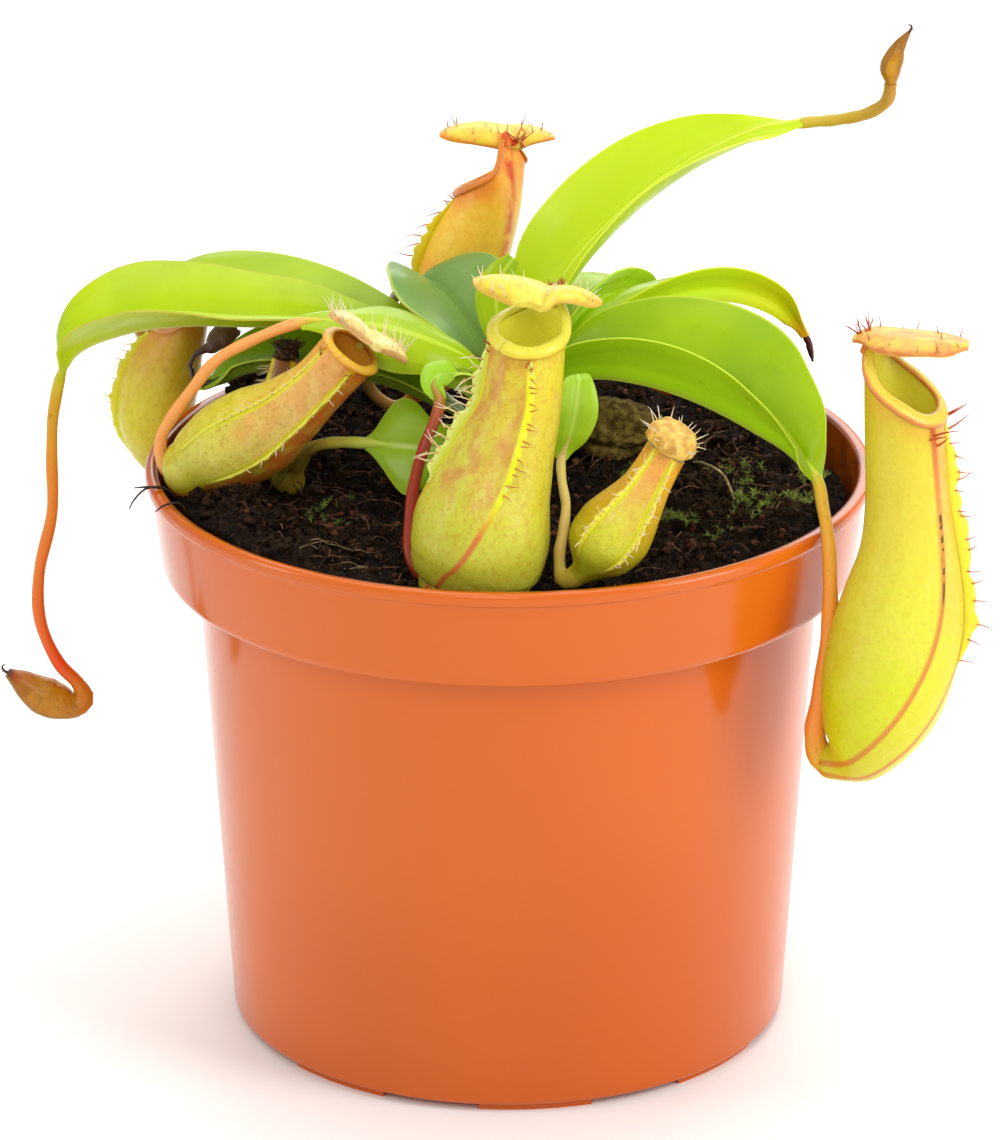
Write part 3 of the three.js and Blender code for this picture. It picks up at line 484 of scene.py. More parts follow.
def pot_paint():
    """Glossy injection-moulded plastic, a little uneven in colour and gloss, with painted shade in dark brown patches
    on the inside wall.
    """
    paint = Paint("pot_plastic", 0xC65A0C, 0.18, Specular_IOR_Level=0.4)
    broad = paint.noise(70, 1)
    body = paint.mix(paint.span(broad, 0.3, 0.7), 0xCA5E0E, 0xBE5408)
    # Painted shade: the inside wall above the collar is darkened towards brown, in noisy patches.
    inner_wall_shade = paint.math("MULTIPLY", paint.value("inner"), paint.span(paint.noise(6, 5, seed=4), 0.3, 0.6, 0.35, 0.9))
    body = paint.mix(inner_wall_shade, body, 0x7A3410)
    paint.color(body)
    paint.roughness(paint.span(paint.noise(14, 4, seed=6), 0.3, 0.7, 0.15, 0.2))
    return paint.material


def peat_paint():
    paint = Paint("peat", roughness=0.9, Specular_IOR_Level=0.1)
    body = paint.mix(paint.span(paint.noise(2.4, 6), 0.35, 0.65), 0x0A0604, 0x24170E)
    body = paint.mix(paint.span(paint.noise(1.0, 4, seed=3), 0.6, 0.74, 0, 0.5), body, 0x503420)
    paint.color(body)
    paint.roughness(paint.span(paint.noise(1.6, 3, seed=5), 0.35, 0.6, 0.6, 0.95))
    paint.bump(paint.noise(1.2, 6), 0.9)
    paint.bump(paint.noise(0.35, 4), 0.3)
    return paint.material


# The leaves. Each is one long organ, on one line: a blade, a tendril and a pitcher, as in the frame.
ORGANS = [
    {
        "name": "left_long",
        "paint": "long",
        "leaf": [
            (-4, 2.6, 108), (-9, 4, 113), (-18, 6, 116), (-29, 8, 118), (-43, 8.5, 118),
            (-53, 8, 118.3), (-63.2, 6, 117.6), (-72.1, 4, 114), (-75, 2.5, 105.5),
        ],
        "widths": [1.4, 2.5, 4, 5.3, 8.3, 10, 11.5, 12, 9.2, 1], "keel": 0.35, "wave": 0.2, "short": 0.5,
        "spread": [[(0, -0.93, 0.37), (0, 0.75, 0.66)], [(-0.5, -0.8, 0.4), (0, 0.75, 0.66)]],
        "tendril": [
            (-75.5, 1, 98), (-75.6, 0, 88), (-78, 0, 77),
            (-78, 0, 68.5), (-75, 0, 60.8), (-72, 0, 57.3), (-71, 0, 54.6),
        ],
        "vine": [
            (0, 0xA8CC10), (0.14, 0xC09820), (0.35, 0xD07C20), (0.72, 0xD86418), (0.87, 0xDC4810),
            (0.93, 0xC46C18), (1, 0xB87814),
        ],
        "bud": [(-72.6, 0, 53.4), (-75.8, 0, 54.2), (-79, 0, 56), (-81.6, 0, 57.9), (-83.7, 0, 59.2)],
        "bud_shape": {"radii": [2.2, 2.9, 3.1, 2.6, 1.8, 0.8], "front": (0, 0, -1), "wings": 0.5},
        "bud_skin": "brown_bud",
    },
    {
        "name": "left_back",
        "paint": "lime",
        "leaf": [
            (-3.6, 4, 105), (-9, 8.5, 109.5), (-16, 13, 112), (-30, 19.5, 116),
            (-44, 25, 118.5), (-56, 29, 118), (-63, 32, 114.5),
        ],
        "widths": [1.2, 3, 7, 9, 9, 7.5, 1],
        "spread": [[(0, -1, 0.25), (0, 0.68, 0.73)], [(0, -0.95, 0.3), (0, 0.97, 0.2)]],
        "tendril": [
            (-64, 36, 110), (-62, 41, 104), (-60, 46, 97), (-59, 48, 89),
            (-59, 47, 81), (-59, 43, 76.8), (-59.3, 39.5, 78),
        ],
        "vine": [(0, 0xA8CC10), (0.3, 0xB0882C), (1, 0xA9772C)],
        "cup": [(-59.8, 37.5, 80.5), (-60.5, 36, 86), (-60, 35, 93), (-57.6, 34, 102.5), (-54.9, 32.9, 110.2)],
        "cup_shape": {
            "radii": [1.2, 3.8, 6, 6.5, 6.1, 5.2, 4.6], "front": (-0.7, 0.7, 0), "mouth": (-0.25, -0.1, 1),
            "wings": (1.6, 1.6), "teeth": (9, 9), "skin": "olive_back",
        },
        "lid": {
            "line": [(-50.6, 35.3, 113), (-53, 34, 114), (-57, 31.8, 113.5), (-60.5, 30, 112.6)],
            "widths": [1.5, 4.5, 5.5, 4, 1],
            "spread": [[(0.5, -0.85, 0.1), (-0.5, 0.85, 0.1)], [(0.5, -0.85, 0.1), (-0.5, 0.85, 0.1)]],
            "skin": "tan_lid", "hairs": 16, "half": 0.6, "neck": 0.7,
        },
    },
    {
        "name": "left_front",
        "paint": "lime",
        "leaf": [
            (-2.5, 0.2, 110.6), (-7, -2.8, 116), (-12.5, -4, 119.3),
            (-19, -4, 121.5), (-27, -3.8, 122.7), (-34, -3.6, 122.4),
        ],
        "widths": [1.3, 2.2, 6.1, 7, 4.2, 1.6],
        "spread": [[(0, -0.6, -0.8), (0, 0.97, 0.25)], [(0, -0.6, -0.8), (0, 1, 0)]],
        "tendril": [
            (-42.1, -4.5, 119.6), (-47.9, -5, 116.3), (-51.7, -5.5, 111.7),
            (-55.1, -6, 107), (-56.9, -6.4, 103.6), (-57, -6.7, 100.6), (-55.6, -7, 98.2),
        ],
        "vine": [(0, 0xA8CC10), (0.1, 0xC8B830), (0.2, 0xE8A054), (0.5, 0xE89C54), (0.85, 0xE4984C), (1, 0xC8A030)],
        "cup": [
            (-52.6, -7.4, 98.2), (-49.4, -8, 100.6), (-44.6, -9.2, 103.7),
            (-38.3, -11, 108), (-31, -13, 114.9), (-25.7, -14, 121.1),
        ],
        "cup_shape": {
            "radii": [5.2, 7.4, 7.5, 5.9, 4.8, 4.9], "front": (-0.3, -0.93, 0.13), "mouth": (0.6, -0.12, 0.79),
            "stretch": 1.15,
            "neck": 0, "wings": (0.8, 0.9), "teeth": (14, 8), "tooth_length": (1.6, 1.8), "skin": "pink_front",
            "lip": 0.6, "lip_band": 0.35, "wing_angle": TAU / 11, "flush_side": 1, "flush_share": 1,
            "top_hairs": (6, 1.6),
        },
        "lid": {
            "line": [(-24.8, -8.4, 123.1), (-23.2, -11.5, 123.5), (-21.7, -15, 123.4), (-21.2, -18.5, 123.5)],
            "widths": [1.5, 7, 8, 6, 1],
            "spread": [[(0.8, -0.1, -0.6), (-0.8, 0.1, 0.45)], [(0.8, -0.1, -0.6), (-0.8, 0.1, 0.45)]],
            "skin": "tan_lid", "hairs": 56, "half": 0.9, "neck": 0.7, "hair_length": 1.5,
        },
    },
    {
        "name": "curled",
        "paint": "green",
        "leaf": [
            (-1.8, -1.1, 105.5), (-4.3, -7.5, 110.8), (-7.8, -12.2, 115.2),
            (-11.3, -14.5, 117), (-12.2, -16.8, 116.2), (-11.2, -18.6, 114.5),
        ],
        "widths": [1.4, 2.4, 4.5, 4.5, 3, 1.1],
        "spread": [[(0.7, -0.6, 0.3), (-0.75, 0, 0.65)], [(0.9, -0.2, 0.3), (-0.8, 0, 0.6)]],
        "tendril": [
            (-11.7, -21.5, 112.7), (-13.2, -25, 110), (-14.5, -28.5, 107), (-15.4, -32, 103.5),
            (-15.9, -36, 99), (-15.7, -39.5, 95.3), (-14.2, -41.2, 93.2),
        ],
        "vine": [(0, 0x90BC18), (0.1, 0x9C8C28), (0.2, 0x9C4C1C), (0.3, 0x8C2C12), (0.8, 0x922E14), (1, 0xA04820)],
        "cup": [
            (-7.2, -42.2, 90.6), (-5.4, -42.2, 95.6), (-3.9, -42, 102.6),
            (-0.9, -40.3, 112), (2, -38.6, 121), (3.2, -37, 132.5),
        ],
        "cup_shape": {
            "radii": [8.6, 10.8, 10.8, 9.1, 7.8, 6.4, 5.9, 5.7], "front": (-0.6, -0.8, 0),
            "mouth": (0.05, -0.32, 0.94), "neck": 3, "wings": (2.6, 0.5), "teeth": (14, 14), "tooth_low": 0.42,
            "tooth_length": (3.4, 2), "skin": "ochre_front", "lip": 0.95, "ridge_height": 0.7, "twist": -0.95,
            "wing_low": 0.32,
            "flush_side": -1, "flush_share": 0.8, "top_hairs": (5, 2), "dark_side": True,
        },
        "lid": {
            "line": [(6.7, -31.9, 138.1), (6.4, -34.8, 139.3), (5.7, -38, 139.8), (5.2, -42.5, 138.6)],
            "widths": [2, 8, 10, 10, 4],
            "side_widths": [[3, 8.6, 7.6, 3, 1.2], [3, 10, 11.6, 10.6, 5]],
            "spread": [[(1, 0, -0.28), (-1, 0, 0.12)], [(1, 0, -0.28), (-1, 0, 0.08)]],
            "skin": "yellow_lid", "hairs": 34, "spur": (26, 2.2, 2.2), "half": 0.55, "neck": 0.9,
        },
    },
    {
        "name": "arrow",
        "paint": "shaded",
        "leaf": [
            (-2.7, -0.3, 101), (-7, -5, 102.5), (-12, -9, 102.5),
            (-17.5, -12, 104), (-23.3, -14, 105.3),
        ],
        "widths": [1.5, 2.5, 5, 8, 1.1],
        "spread": [[(0, -0.6, -0.8), (0, 0.5, 0.85)], [(0, -0.5, -0.85), (0, 0.6, 0.8)]],
        "tendril": [
            (-28, -11, 104.3), (-32, -6.5, 101.8), (-34.5, -3, 98),
            (-35, -0.5, 94.5), (-36, 1, 92.5),
        ],
        "vine": [(0, 0x94C410), (0.18, 0xB4C448), (0.5, 0xC8B040), (1, 0xC0A034)],
        "bud": [(-36.8, 2.2, 93.3), (-37, 3.3, 97), (-37.3, 4, 102), (-37.3, 5, 107.5), (-36.6, 5.5, 113)],
        "bud_shape": {
            "radii": [2.8, 4.2, 4.5, 4.1, 3.6, 2.8, 2.5], "front": (-0.3, -1, 0), "wings": 0.7,
            "long_hairs": 46,
        },
        "bud_skin": "withering_bud",
        "cap": {
            "foot": (-36.6, 5.6, 113.2), "axis": (0.05, 0.1, 1),
            "profile": [(1.7, 0), (2.0, 0.3), (1.8, 1.3), (2.3, 2.3), (1.3, 2.7), (0.4, 2.2)],
            "points": 34, "reach": (2.1, 2.1, 1.7), "skin": "dried",
        },
    },
    {
        "name": "grey_back",
        "paint": "grey",
        "leaf": [
            (-1, 6, 103.5), (-3, 9.7, 110.5), (-6.5, 14.5, 115.5),
            (-10, 20, 118.8), (-13.5, 25, 119.3), (-17.5, 29, 117),
        ],
        "widths": [1.2, 2.1, 7.3, 10.5, 10, 6, 1.1],
        "reach": [1.45, 1],
        "spread": [[(-0.5, -0.1, 0.85), (0.7, 0.2, 0.6)], [(-0.9, -0.1, 0.3), (0.8, 0.2, 0.45)]],
        "tendril": [
            (-20, 33.5, 112.5), (-23, 36.5, 106), (-24.5, 38.5, 99.5),
            (-23, 39.5, 94.5), (-19.5, 39.5, 92),
        ],
        "vine": [(0, 0x8FA070), (0.4, 0xA88A4C), (1, 0xB07A3A)],
        "cup": [
            (-16.5, 39.5, 93.5), (-13.5, 38.8, 99), (-10.8, 37.8, 107),
            (-7.9, 36.7, 117), (-4.9, 35.6, 127), (-2.9, 34.8, 134.4),
        ],
        "cup_shape": {
            "radii": [1.2, 6, 7, 7, 6.8, 6.3, 5.7], "front": (-0.8, 0.6, 0), "mouth": (-0.42, 0.25, 0.87),
            "stretch": 1.24, "neck": 5, "peak": 10, "wings": (2.4, 2.4), "teeth": (9, 9), "tooth_length": (3.8, 3.8), "skin": "orange_back",
            "streak": 1, "lip": 0.7,
        },
        "lid": {
            "line": [(1, 32.5, 140.6), (0.7, 34, 141.6), (0, 36.5, 142.2), (-0.8, 39, 142.4)],
            "widths": [2, 8, 8.7, 7, 2],
            "reach": [1.42, 0.88],
            "spread": [[(-1, 0, 0.22), (1, 0, -0.12)], [(-1, 0.1, 0.14), (1, 0.1, -0.25)]],
            "skin": "red_lid", "hairs": 24, "spur": (16, 4.4, 1.8), "red": True, "neck": 0.65, "half": 0.55,
        },
    },
    {
        "name": "young",
        "paint": "lime",
        "leaf": [(-0.3, 2, 115.9), (-1.6, 2.2, 120), (-2, 3.2, 125), (-0.8, 4.5, 128.5), (0.8, 5.5, 130.5)],
        "widths": [1.8, 2.6, 3.2, 3.4, 2.6, 1.2],
        "spread": [[(-1, 0, 0), (1, 0.3, 0)], [(-1, 0, 0), (1, 0.3, 0)]],
    },
    {
        "name": "upright_long",
        # Painted light: this leaf takes the lighter copy of the lime green.
        "paint": "lit_lime",
        "leaf": [
            (2.5, 3.9, 112), (6, 6, 119), (10.5, 8.5, 126.8), (16, 11, 132.7), (24, 14, 139.2),
            (33, 16.5, 144.4), (42, 18, 147.9), (48.5, 18, 149.7),
        ],
        "widths": [1.5, 6.5, 10.5, 11.5, 11.5, 10.5, 8, 4, 1],
        "spread": [[(0, -0.93, 0.37), (-0.35, 0.6, 0.7)], [(0, -0.93, 0.37), (-0.35, 0.6, 0.7)]],
        "tendril": [(54, 17.5, 150.4), (59.3, 16.3, 152), (62.2, 15.3, 154.5)],
        "vine": [(0, 0xC4E010), (0.25, 0xC0A828), (0.7, 0xB8922C), (1, 0xB07C24)],
        "bud": [(62.7, 15, 157.5), (62.7, 15, 160.5), (63.7, 15, 163.5), (65.5, 15, 166.2)],
        "bud_shape": {"radii": [0.9, 1.6, 1.35, 0.6, 0.35]},
        "bud_skin": "brown_bud",
    },
    {
        "name": "right_back_dull",
        "paint": "fresh",
        "leaf": [
            (2, 5.6, 103), (4.5, 9.5, 109.5), (8.5, 15, 114.5),
            (14, 22.5, 116.5), (20, 30, 115.7), (25.5, 36.5, 112.4),
        ],
        "widths": [1.4, 3, 6.5, 8, 6, 1],
        "spread": [[(-0.5, 0.5, 0.7), (0.4, -0.2, 0.85)], [(-0.6, 0.75, 0.15), (0.6, -0.4, 0.7)]],
        "tendril": [(27.5, 38.8, 110.4), (28.6, 40, 108.2)],
        "radii": [0.85, 0.8, 0.4], "withered": 0.2,
        "vine": [(0, 0xB8B060), (0.3, 0xC4A878), (1, 0xA88A5C)],
    },
    {
        "name": "right_back",
        "paint": "yellowing",
        "leaf": [
            (3.7, 3.3, 104), (8.5, 5.5, 110.5), (16, 9.5, 116.5), (26, 14, 120),
            (36, 19, 119.7), (44.5, 23.5, 115.6), (49.7, 26.5, 109.8),
        ],
        "widths": [1.4, 2.8, 6, 6.5, 6.5, 5, 1.2],
        "spread": [[(-0.3, 0.75, 0.5), (0.2, -0.5, 0.85)], [(-0.4, 0.9, 0), (0.2, -0.6, 0.75)]],
        "tendril": [(50.8, 27, 107), (51.2, 27.3, 104.6)],
        "radii": [0.65, 0.55, 0.25], "withered": 0.15,
        "vine": [(0, 0xC87A28), (0.22, 0x5A2018), (1, 0x2A1010)],
    },
    {
        "name": "right_front",
        "paint": "fresh",
        "leaf": [
            (3.8, 0.6, 106.5), (7, -1.5, 111.5), (13, -5, 114.5), (21.5, -9, 115), (31, -14, 113.5),
            (40, -19, 110.3), (46, -23, 107.5), (49.7, -27, 104),
        ],
        "widths": [1.5, 4.5, 10, 13.5, 15, 14, 9, 1.2],
        "spread": [[(0.22, 0.38, 0.9), (-0.33, -0.56, 0.76)], [(0.6, 0.5, 0.8), (-0.33, -0.56, 0.76)]],
        "reach": [1.08, 1],
        "tendril": [
            (50.6, -30.5, 100.5), (51.4, -33.9, 96.5), (51.7, -35.5, 92), (51.8, -36.3, 85),
            (51.4, -36.5, 77), (50.4, -36.3, 69), (49.7, -36, 63.5), (50.6, -36.1, 59.6),
        ],
        "radii": [1, 1.15, 1.35, 1.6, 1.65],
        "vine": [(0, 0x9CC800), (0.08, 0xB0CC10), (0.2, 0xE4B038), (0.5, 0xEC9838), (0.85, 0xEC8C34), (1, 0xDCB02C)],
        "cup": [
            (52.3, -36.6, 58.7), (55.4, -37.1, 60.3), (58.6, -37.7, 65.8), (62, -38, 78.6),
            (64, -38, 94.2), (63.3, -38, 109.7), (62.4, -38, 123.4),
        ],
        "cup_shape": {
            "radii": [3, 6.1, 8, 9.5, 10.4, 10.65, 10.6, 10.15, 9.4, 8.35, 7.3, 6.6, 6.2, 6.05, 6, 6.1, 6.3],
            "front": (0.93, -0.37, 0), "mouth": (0.5, -0.3, 0.8), "stretch": 1.3,
            "neck": 2.2, "wings": (0, 2.6), "teeth": (0, 15), "tooth_length": (1.2, 2.6), "wing_angle": TAU / 17,
            "skin": "lime_side", "lip": 0.8, "lip_band": 0.55, "ridge_height": 0.35, "top_hairs": (3, 5.2),
            "twist": -1.2, "twist_top": 0.85, "wing_low": 0.32, "tooth_low": 0.36,
        },
        "lid": {
            "line": [
                (54.8, -36.2, 131.3), (58, -36.8, 132.4), (63, -37.5, 132.3),
                (68.5, -38, 131.8), (73, -38.5, 131),
            ],
            "widths": [1.6, 5, 6.6, 6.8, 6, 2.4],
            "spread": [[(0, 0.93, -0.37), (0, -0.9, -0.2)], [(0, 0.93, -0.37), (0, -0.9, -0.1)]],
            "skin": "pink_lid", "hairs": 16, "spur": (12, 4.2, 1), "half": 0.65, "red": True, "neck": 0.9,
        },
    },
    {
        "name": "small_oval",
        "paint": "soft_green",
        "leaf": [
            (2.6, -1.1, 101), (5, -6, 106), (8, -12, 112), (10.2, -17, 117.2), (11.3, -20.5, 119.2),
            (11, -23, 115.5), (9.9, -24, 110.7), (8.5, -24.5, 106.5),
        ],
        "widths": [1.4, 1.5, 1.5, 1.5, 1.5, 1.4, 1.3, 1.5, 3, 3.7, 2.9, 1],
        "spread": [[(1, 0.3, 0), (-1, -0.3, 0)], [(0.9, 0.2, 0.2), (-0.9, -0.3, 0)]],
        "tendril": [
            (8.6, -27, 103.8), (9.2, -31, 101), (8.8, -35.5, 98.5),
            (8.1, -40, 95.5), (8.8, -43.3, 93),
        ],
        "radii": [0.75, 0.8, 0.95, 1.1],
        "vine": [(0, 0xB4BC50), (0.2, 0xD8C068), (0.7, 0xDCB858), (1, 0xCCB034)],
        "bud": [(11.5, -44.3, 94.5), (15.3, -44, 99.5), (20.4, -43.3, 106.5), (25, -42, 114.2)],
        "bud_shape": {
            "radii": [2, 5.4, 6.3, 5.6, 4.3, 3.6, 3.4], "front": (-0.2, -1, 0), "wings": 1.5, "teeth": 16,
            "wing_angle": TAU / 12,
        },
        "bud_skin": "orange_bud",
        "cap": {
            "foot": (25.4, -42, 115.3), "axis": (0.45, -0.2, 0.85),
            "profile": [(3, 0), (4, 0.4), (4.2, 1.4), (3.8, 2.6), (2.4, 3.4), (0.6, 3.4)],
            "points": 26, "reach": (1.8, 3.6, 3.1), "skin": "tan_cap",
        },
    },
    {
        "name": "left_low",
        "paint": "shaded",
        "leaf": [
            (-4, 2.1, 101.5), (-10, 5, 105), (-20, 10, 107.8),
            (-33, 14.5, 109.1), (-44, 16, 107.7), (-51.5, 16, 104.5),
        ],
        "widths": [1.4, 3, 5, 7, 6.5, 1],
        "reach": [0.6, 1],
        "spread": [[(0, -0.9, 0.5), (0, 0.9, 0.5)], [(0, -0.93, 0.37), (0, 0.6, 0.8)]],
        "tendril": [
            (-53, 16, 107.5), (-52.2, 16, 109.8), (-49.6, 16.2, 111.2),
            (-47.8, 16.3, 113), (-45, 16.4, 114),
        ],
        "radii": [0.8, 0.45, 0.4, 0.5, 0.9, 1.8, 2, 0.9],
        "vine": [(0, 0x2E1F1A), (0.5, 0x3A2720), (1, 0x6A4834)], "withered": 0.45,
    },
]

# One paint is a lighter copy of the lime green for a leaf in stronger light: painted light. The shaded paint is a
# darker copy for leaves in shade: painted shade. The fifth colour of each is the lower face, mostly set lighter than
# the top: painted light through the blade.
LEAF_PAINTS = {
    "lime": leaf_paint("lime_leaf", 0xA0BC00, 0x8AA800, 0xB2CC08, 0xBCD040, 0xA8C410),
    "long": leaf_paint("long_leaf", 0xACC400, 0x90AC00, 0xC0D404, 0xDCD894, 0xB8D020, 0xB09040),
    "lit_lime": leaf_paint("lit_lime_leaf", 0xBCD400, 0xA0BC00, 0xD0E40C, 0xDCE850, 0xB8D010),
    "fresh": leaf_paint("fresh_leaf", 0x98B800, 0x80A400, 0xB0CC08, 0xCCDC50, 0xC4FF20),
    "green": leaf_paint("green_leaf", 0x90BC18, 0x78A410, 0xA8CC40, 0xACC850, 0xA0C838),
    "soft_green": leaf_paint("soft_green_leaf", 0xA4C820, 0x8EB81C, 0xB8D448, 0xB8D458, 0xA0C440),
    "yellowing": leaf_paint(
        "yellowing_leaf", 0xA8C808, 0x90B400, 0xBCD818, 0xD8DC40, 0xC4E818, 0xE0E040, (0xD8E010, 0xECB018)
    ),
    "grey": leaf_paint("grey_leaf", 0x7C9C48, 0x668C3C, 0x94B078, 0x8CAC50, 0x88A868),
    "shaded": leaf_paint("shaded_leaf", 0x88A808, 0x749408, 0x9CBC20, 0xB0C464, 0x90B430),
}

# The inside's own pale yellow, pushed near the brightest to lift the shade inside the mouth: partly real colour,
# partly painted light.
LIT_INSIDE = [(0, 0xD8D020), (0.5, 0xF4F030), (0.8, 0xFCF848), (1, 0xFCF650)]
YELLOW_RIDGE = [(0, 0xB4A820), (0.35, 0xD0CC18), (0.8, 0xD8D018), (1, 0xD8B820)]

CUP_SKINS = {
    "ochre_front": {
        "back": [(0, 0xB4B42C), (0.25, 0xC0C038), (0.55, 0xC8B830), (0.8, 0xD0BC28), (1, 0xD4C82C)],
        "front": [(0, 0xB0AC28), (0.25, 0xBCBC34), (0.5, 0xC4BC3C), (0.8, 0xCCB834), (1, 0xD2BC2C)],
        "fleck": 0xB47A24, "pale": 0xD8D468, "flush": 0xB47820, "mottle": 1, "blush": (0.8, 0xC48440),
        "ridge": [(0, 0xC06828), (0.28, 0xC87030), (0.4, 0xD0D40C), (0.9, 0xDCDC10), (1, 0xD89C30)],
        "inside": LIT_INSIDE,
    },
    "pink_front": {
        "back": [(0, 0xBCB430), (0.4, 0xC8BC34), (0.7, 0xD4AC40), (1, 0xD89038)],
        "front": [(0, 0xBCBA38), (0.3, 0xCCC448), (0.5, 0xD8BC58), (0.8, 0xE4B868), (1, 0xE4AC58)],
        "fleck": 0xB48428, "pale": 0xE0D478, "flush": 0xD07428, "mottle": 1.1, "blush": (0.5, 0xE09048),
        "ridge": [(0, 0xB4A820), (0.35, 0xD0CC18), (0.8, 0xE0D018), (1, 0xE0B020)],
        "inside": [(0, 0xA06820), (0.5, 0xCC8420), (0.85, 0xE09C24), (1, 0xE8A834)],
    },
    "lime_side": {
        "back": [(0, 0xCCC41C), (0.2, 0xC8D010), (0.45, 0xD4D03C), (0.7, 0xD8C83C), (1, 0xD0BC2C)],
        "front": [(0, 0xCCC428), (0.3, 0xD0CC28), (0.6, 0xD8BC3C), (0.85, 0xDCA840), (1, 0xDC9C38)],
        "fleck": 0xC4A030, "pale": 0xE8E468, "flush": 0xD08428, "mottle": 0.5, "seam": (0.5, 0.72, 0x5A3814),
        "ridge": [(0, 0xC88828), (0.3, 0xCC8030), (0.55, 0xC08030), (0.75, 0xCC8C38), (1, 0xC05C28)],
        "inside": [(0, 0xC0B820), (0.5, 0xD8D430), (0.8, 0xE4E040), (1, 0xE8E048)],
    },
    "orange_back": {
        # Painted light: the pitcher's own golden orange up its back is pushed near the brightest to make up for the
        # weaker light on it.
        "back": [(0, 0xF08828), (0.4, 0xFC9C34), (0.62, 0xFFCC48), (0.84, 0xFFC844), (1, 0xFCA438)],
        "front": [(0, 0xF8DC40), (0.4, 0xFFE83C), (0.7, 0xFFDC3C), (1, 0xF8B040)],
        "fleck": 0xE8A02C, "pale": 0xF8E068, "flush": 0xD83C18, "mottle": 0.6,
        "ridge": YELLOW_RIDGE, "inside": [(0, 0xB06A20), (0.7, 0xD8842C), (1, 0xE09038)],
    },
    "olive_back": {
        "back": [(0, 0xB4AC1C), (0.4, 0xC4BC24), (0.7, 0xC8AC2C), (1, 0xD08C30)],
        "front": [(0, 0xC0B81C), (0.5, 0xCCC828), (0.8, 0xD0B030), (1, 0xD08838)],
        "fleck": 0xA88424, "pale": 0xD8D058, "flush": 0xC8681C, "mottle": 0.7,
        "ridge": YELLOW_RIDGE, "inside": LIT_INSIDE,
    },
    "orange_bud": {
        "back": [(0, 0xB8B81C), (0.35, 0xBCA81C), (0.6, 0xC49C20), (1, 0xD89C28)],
        "front": [(0, 0xC0C428), (0.35, 0xC8C830), (0.55, 0xCCB440), (0.8, 0xD89C48), (1, 0xDC9840)],
        "fleck": 0xB87424, "pale": 0xDCD04C, "flush": 0x6A4A14, "mottle": 0.7,
        "ridge": YELLOW_RIDGE, "inside": LIT_INSIDE,
    },
    "withering_bud": {
        "back": [(0, 0xB0A42C), (0.5, 0xC0A038), (0.75, 0xB88050), (1, 0x8A5A40)],
        "front": [(0, 0xB4AC30), (0.5, 0xC4A438), (0.75, 0xBC8458), (1, 0x8A5A40)],
        "fleck": 0x8A6428, "pale": 0xD8C074, "flush": 0x8A5028,
        "ridge": YELLOW_RIDGE, "inside": LIT_INSIDE,
    },
    "brown_bud": {
        "back": [(0, 0xB87814), (0.35, 0xB87C10), (0.75, 0xA86414), (0.92, 0xA04018), (1, 0x3A1C10)],
        "front": [(0, 0xBC8014), (0.35, 0xC08C18), (0.75, 0xAC6C14), (0.92, 0xA04018), (1, 0x3A1C10)],
        "fleck": 0x7C4A10, "pale": 0xC8A438, "flush": 0x8A4A20,
        "ridge": [(0, 0xA8701C), (1, 0x8A5A14)], "inside": LIT_INSIDE,
    },
}
CUP_PAINTS = {name: cup_paint(name + "_skin", skin) for name, skin in CUP_SKINS.items()}

LIP_STOPS = {
    "ochre_front": [(0, 0xD0A424), (0.3, 0xDCD038), (0.6, 0xE0DC4C), (0.85, 0xDCCC28), (1, 0xC8981C)],
    "pink_front": [(0, 0xCC6820), (0.2, 0xE09C28), (0.45, 0xECC038), (0.62, 0xE8A030), (0.8, 0xD0701C), (1, 0xCC6820)],
    "lime_side": [(0, 0xC06824), (0.24, 0xC87C34), (0.32, 0xDCC040), (0.5, 0xDCC848), (0.6, 0xC87C34), (1, 0xC06824)],
    "orange_back": [(0, 0xC85C1C), (0.3, 0xD87C28), (0.6, 0xE09434), (1, 0xC85C1C)],
    "olive_back": [(0, 0xC07824), (0.5, 0xC8842C), (1, 0xB06C20)],
}
LIP_PAINTS = {name: lip_paint(name + "_lip", stops) for name, stops in LIP_STOPS.items()}

WING_YELLOW = wing_paint("wing_yellow", [(0, 0xCCC428), (0.5, 0xD8D42C), (1, 0xDCD050)])
WING_GREEN = wing_paint("wing_green", [(0, 0xC4C43C), (0.5, 0xC8D048), (1, 0xDDE48A)])
WING_GOLD = wing_paint("wing_gold", [(0, 0xF4C820), (0.5, 0xFCE028), (1, 0xFCE868)])
WING_PAINTS = {"ochre_front": WING_GREEN, "orange_back": WING_GOLD}

PALE_HAIR = hair_paint("pale_hair", [(0, 0xC49048), (0.35, 0xE0C494), (1, 0xEADDC0)])
RED_HAIR = hair_paint("red_hair", [(0, 0xC86A38), (0.4, 0xB03828), (1, 0x8A2420)])
DARK_HAIR = hair_paint("dark_hair", [(0, 0x6A4028), (1, 0x2E1A14)])
NECK_PAINT = vine_paint("neck_skin", [(0, 0xDC7828), (0.4, 0xD84C20), (1, 0xC83018)])
YELLOW_NECK_PAINT = vine_paint("yellow_neck_skin", [(0, 0xD8C830), (0.6, 0xD8B834), (1, 0xD49838)])
NECK_PAINTS = {"ochre_front": YELLOW_NECK_PAINT, "pink_front": YELLOW_NECK_PAINT, "olive_back": YELLOW_NECK_PAINT}

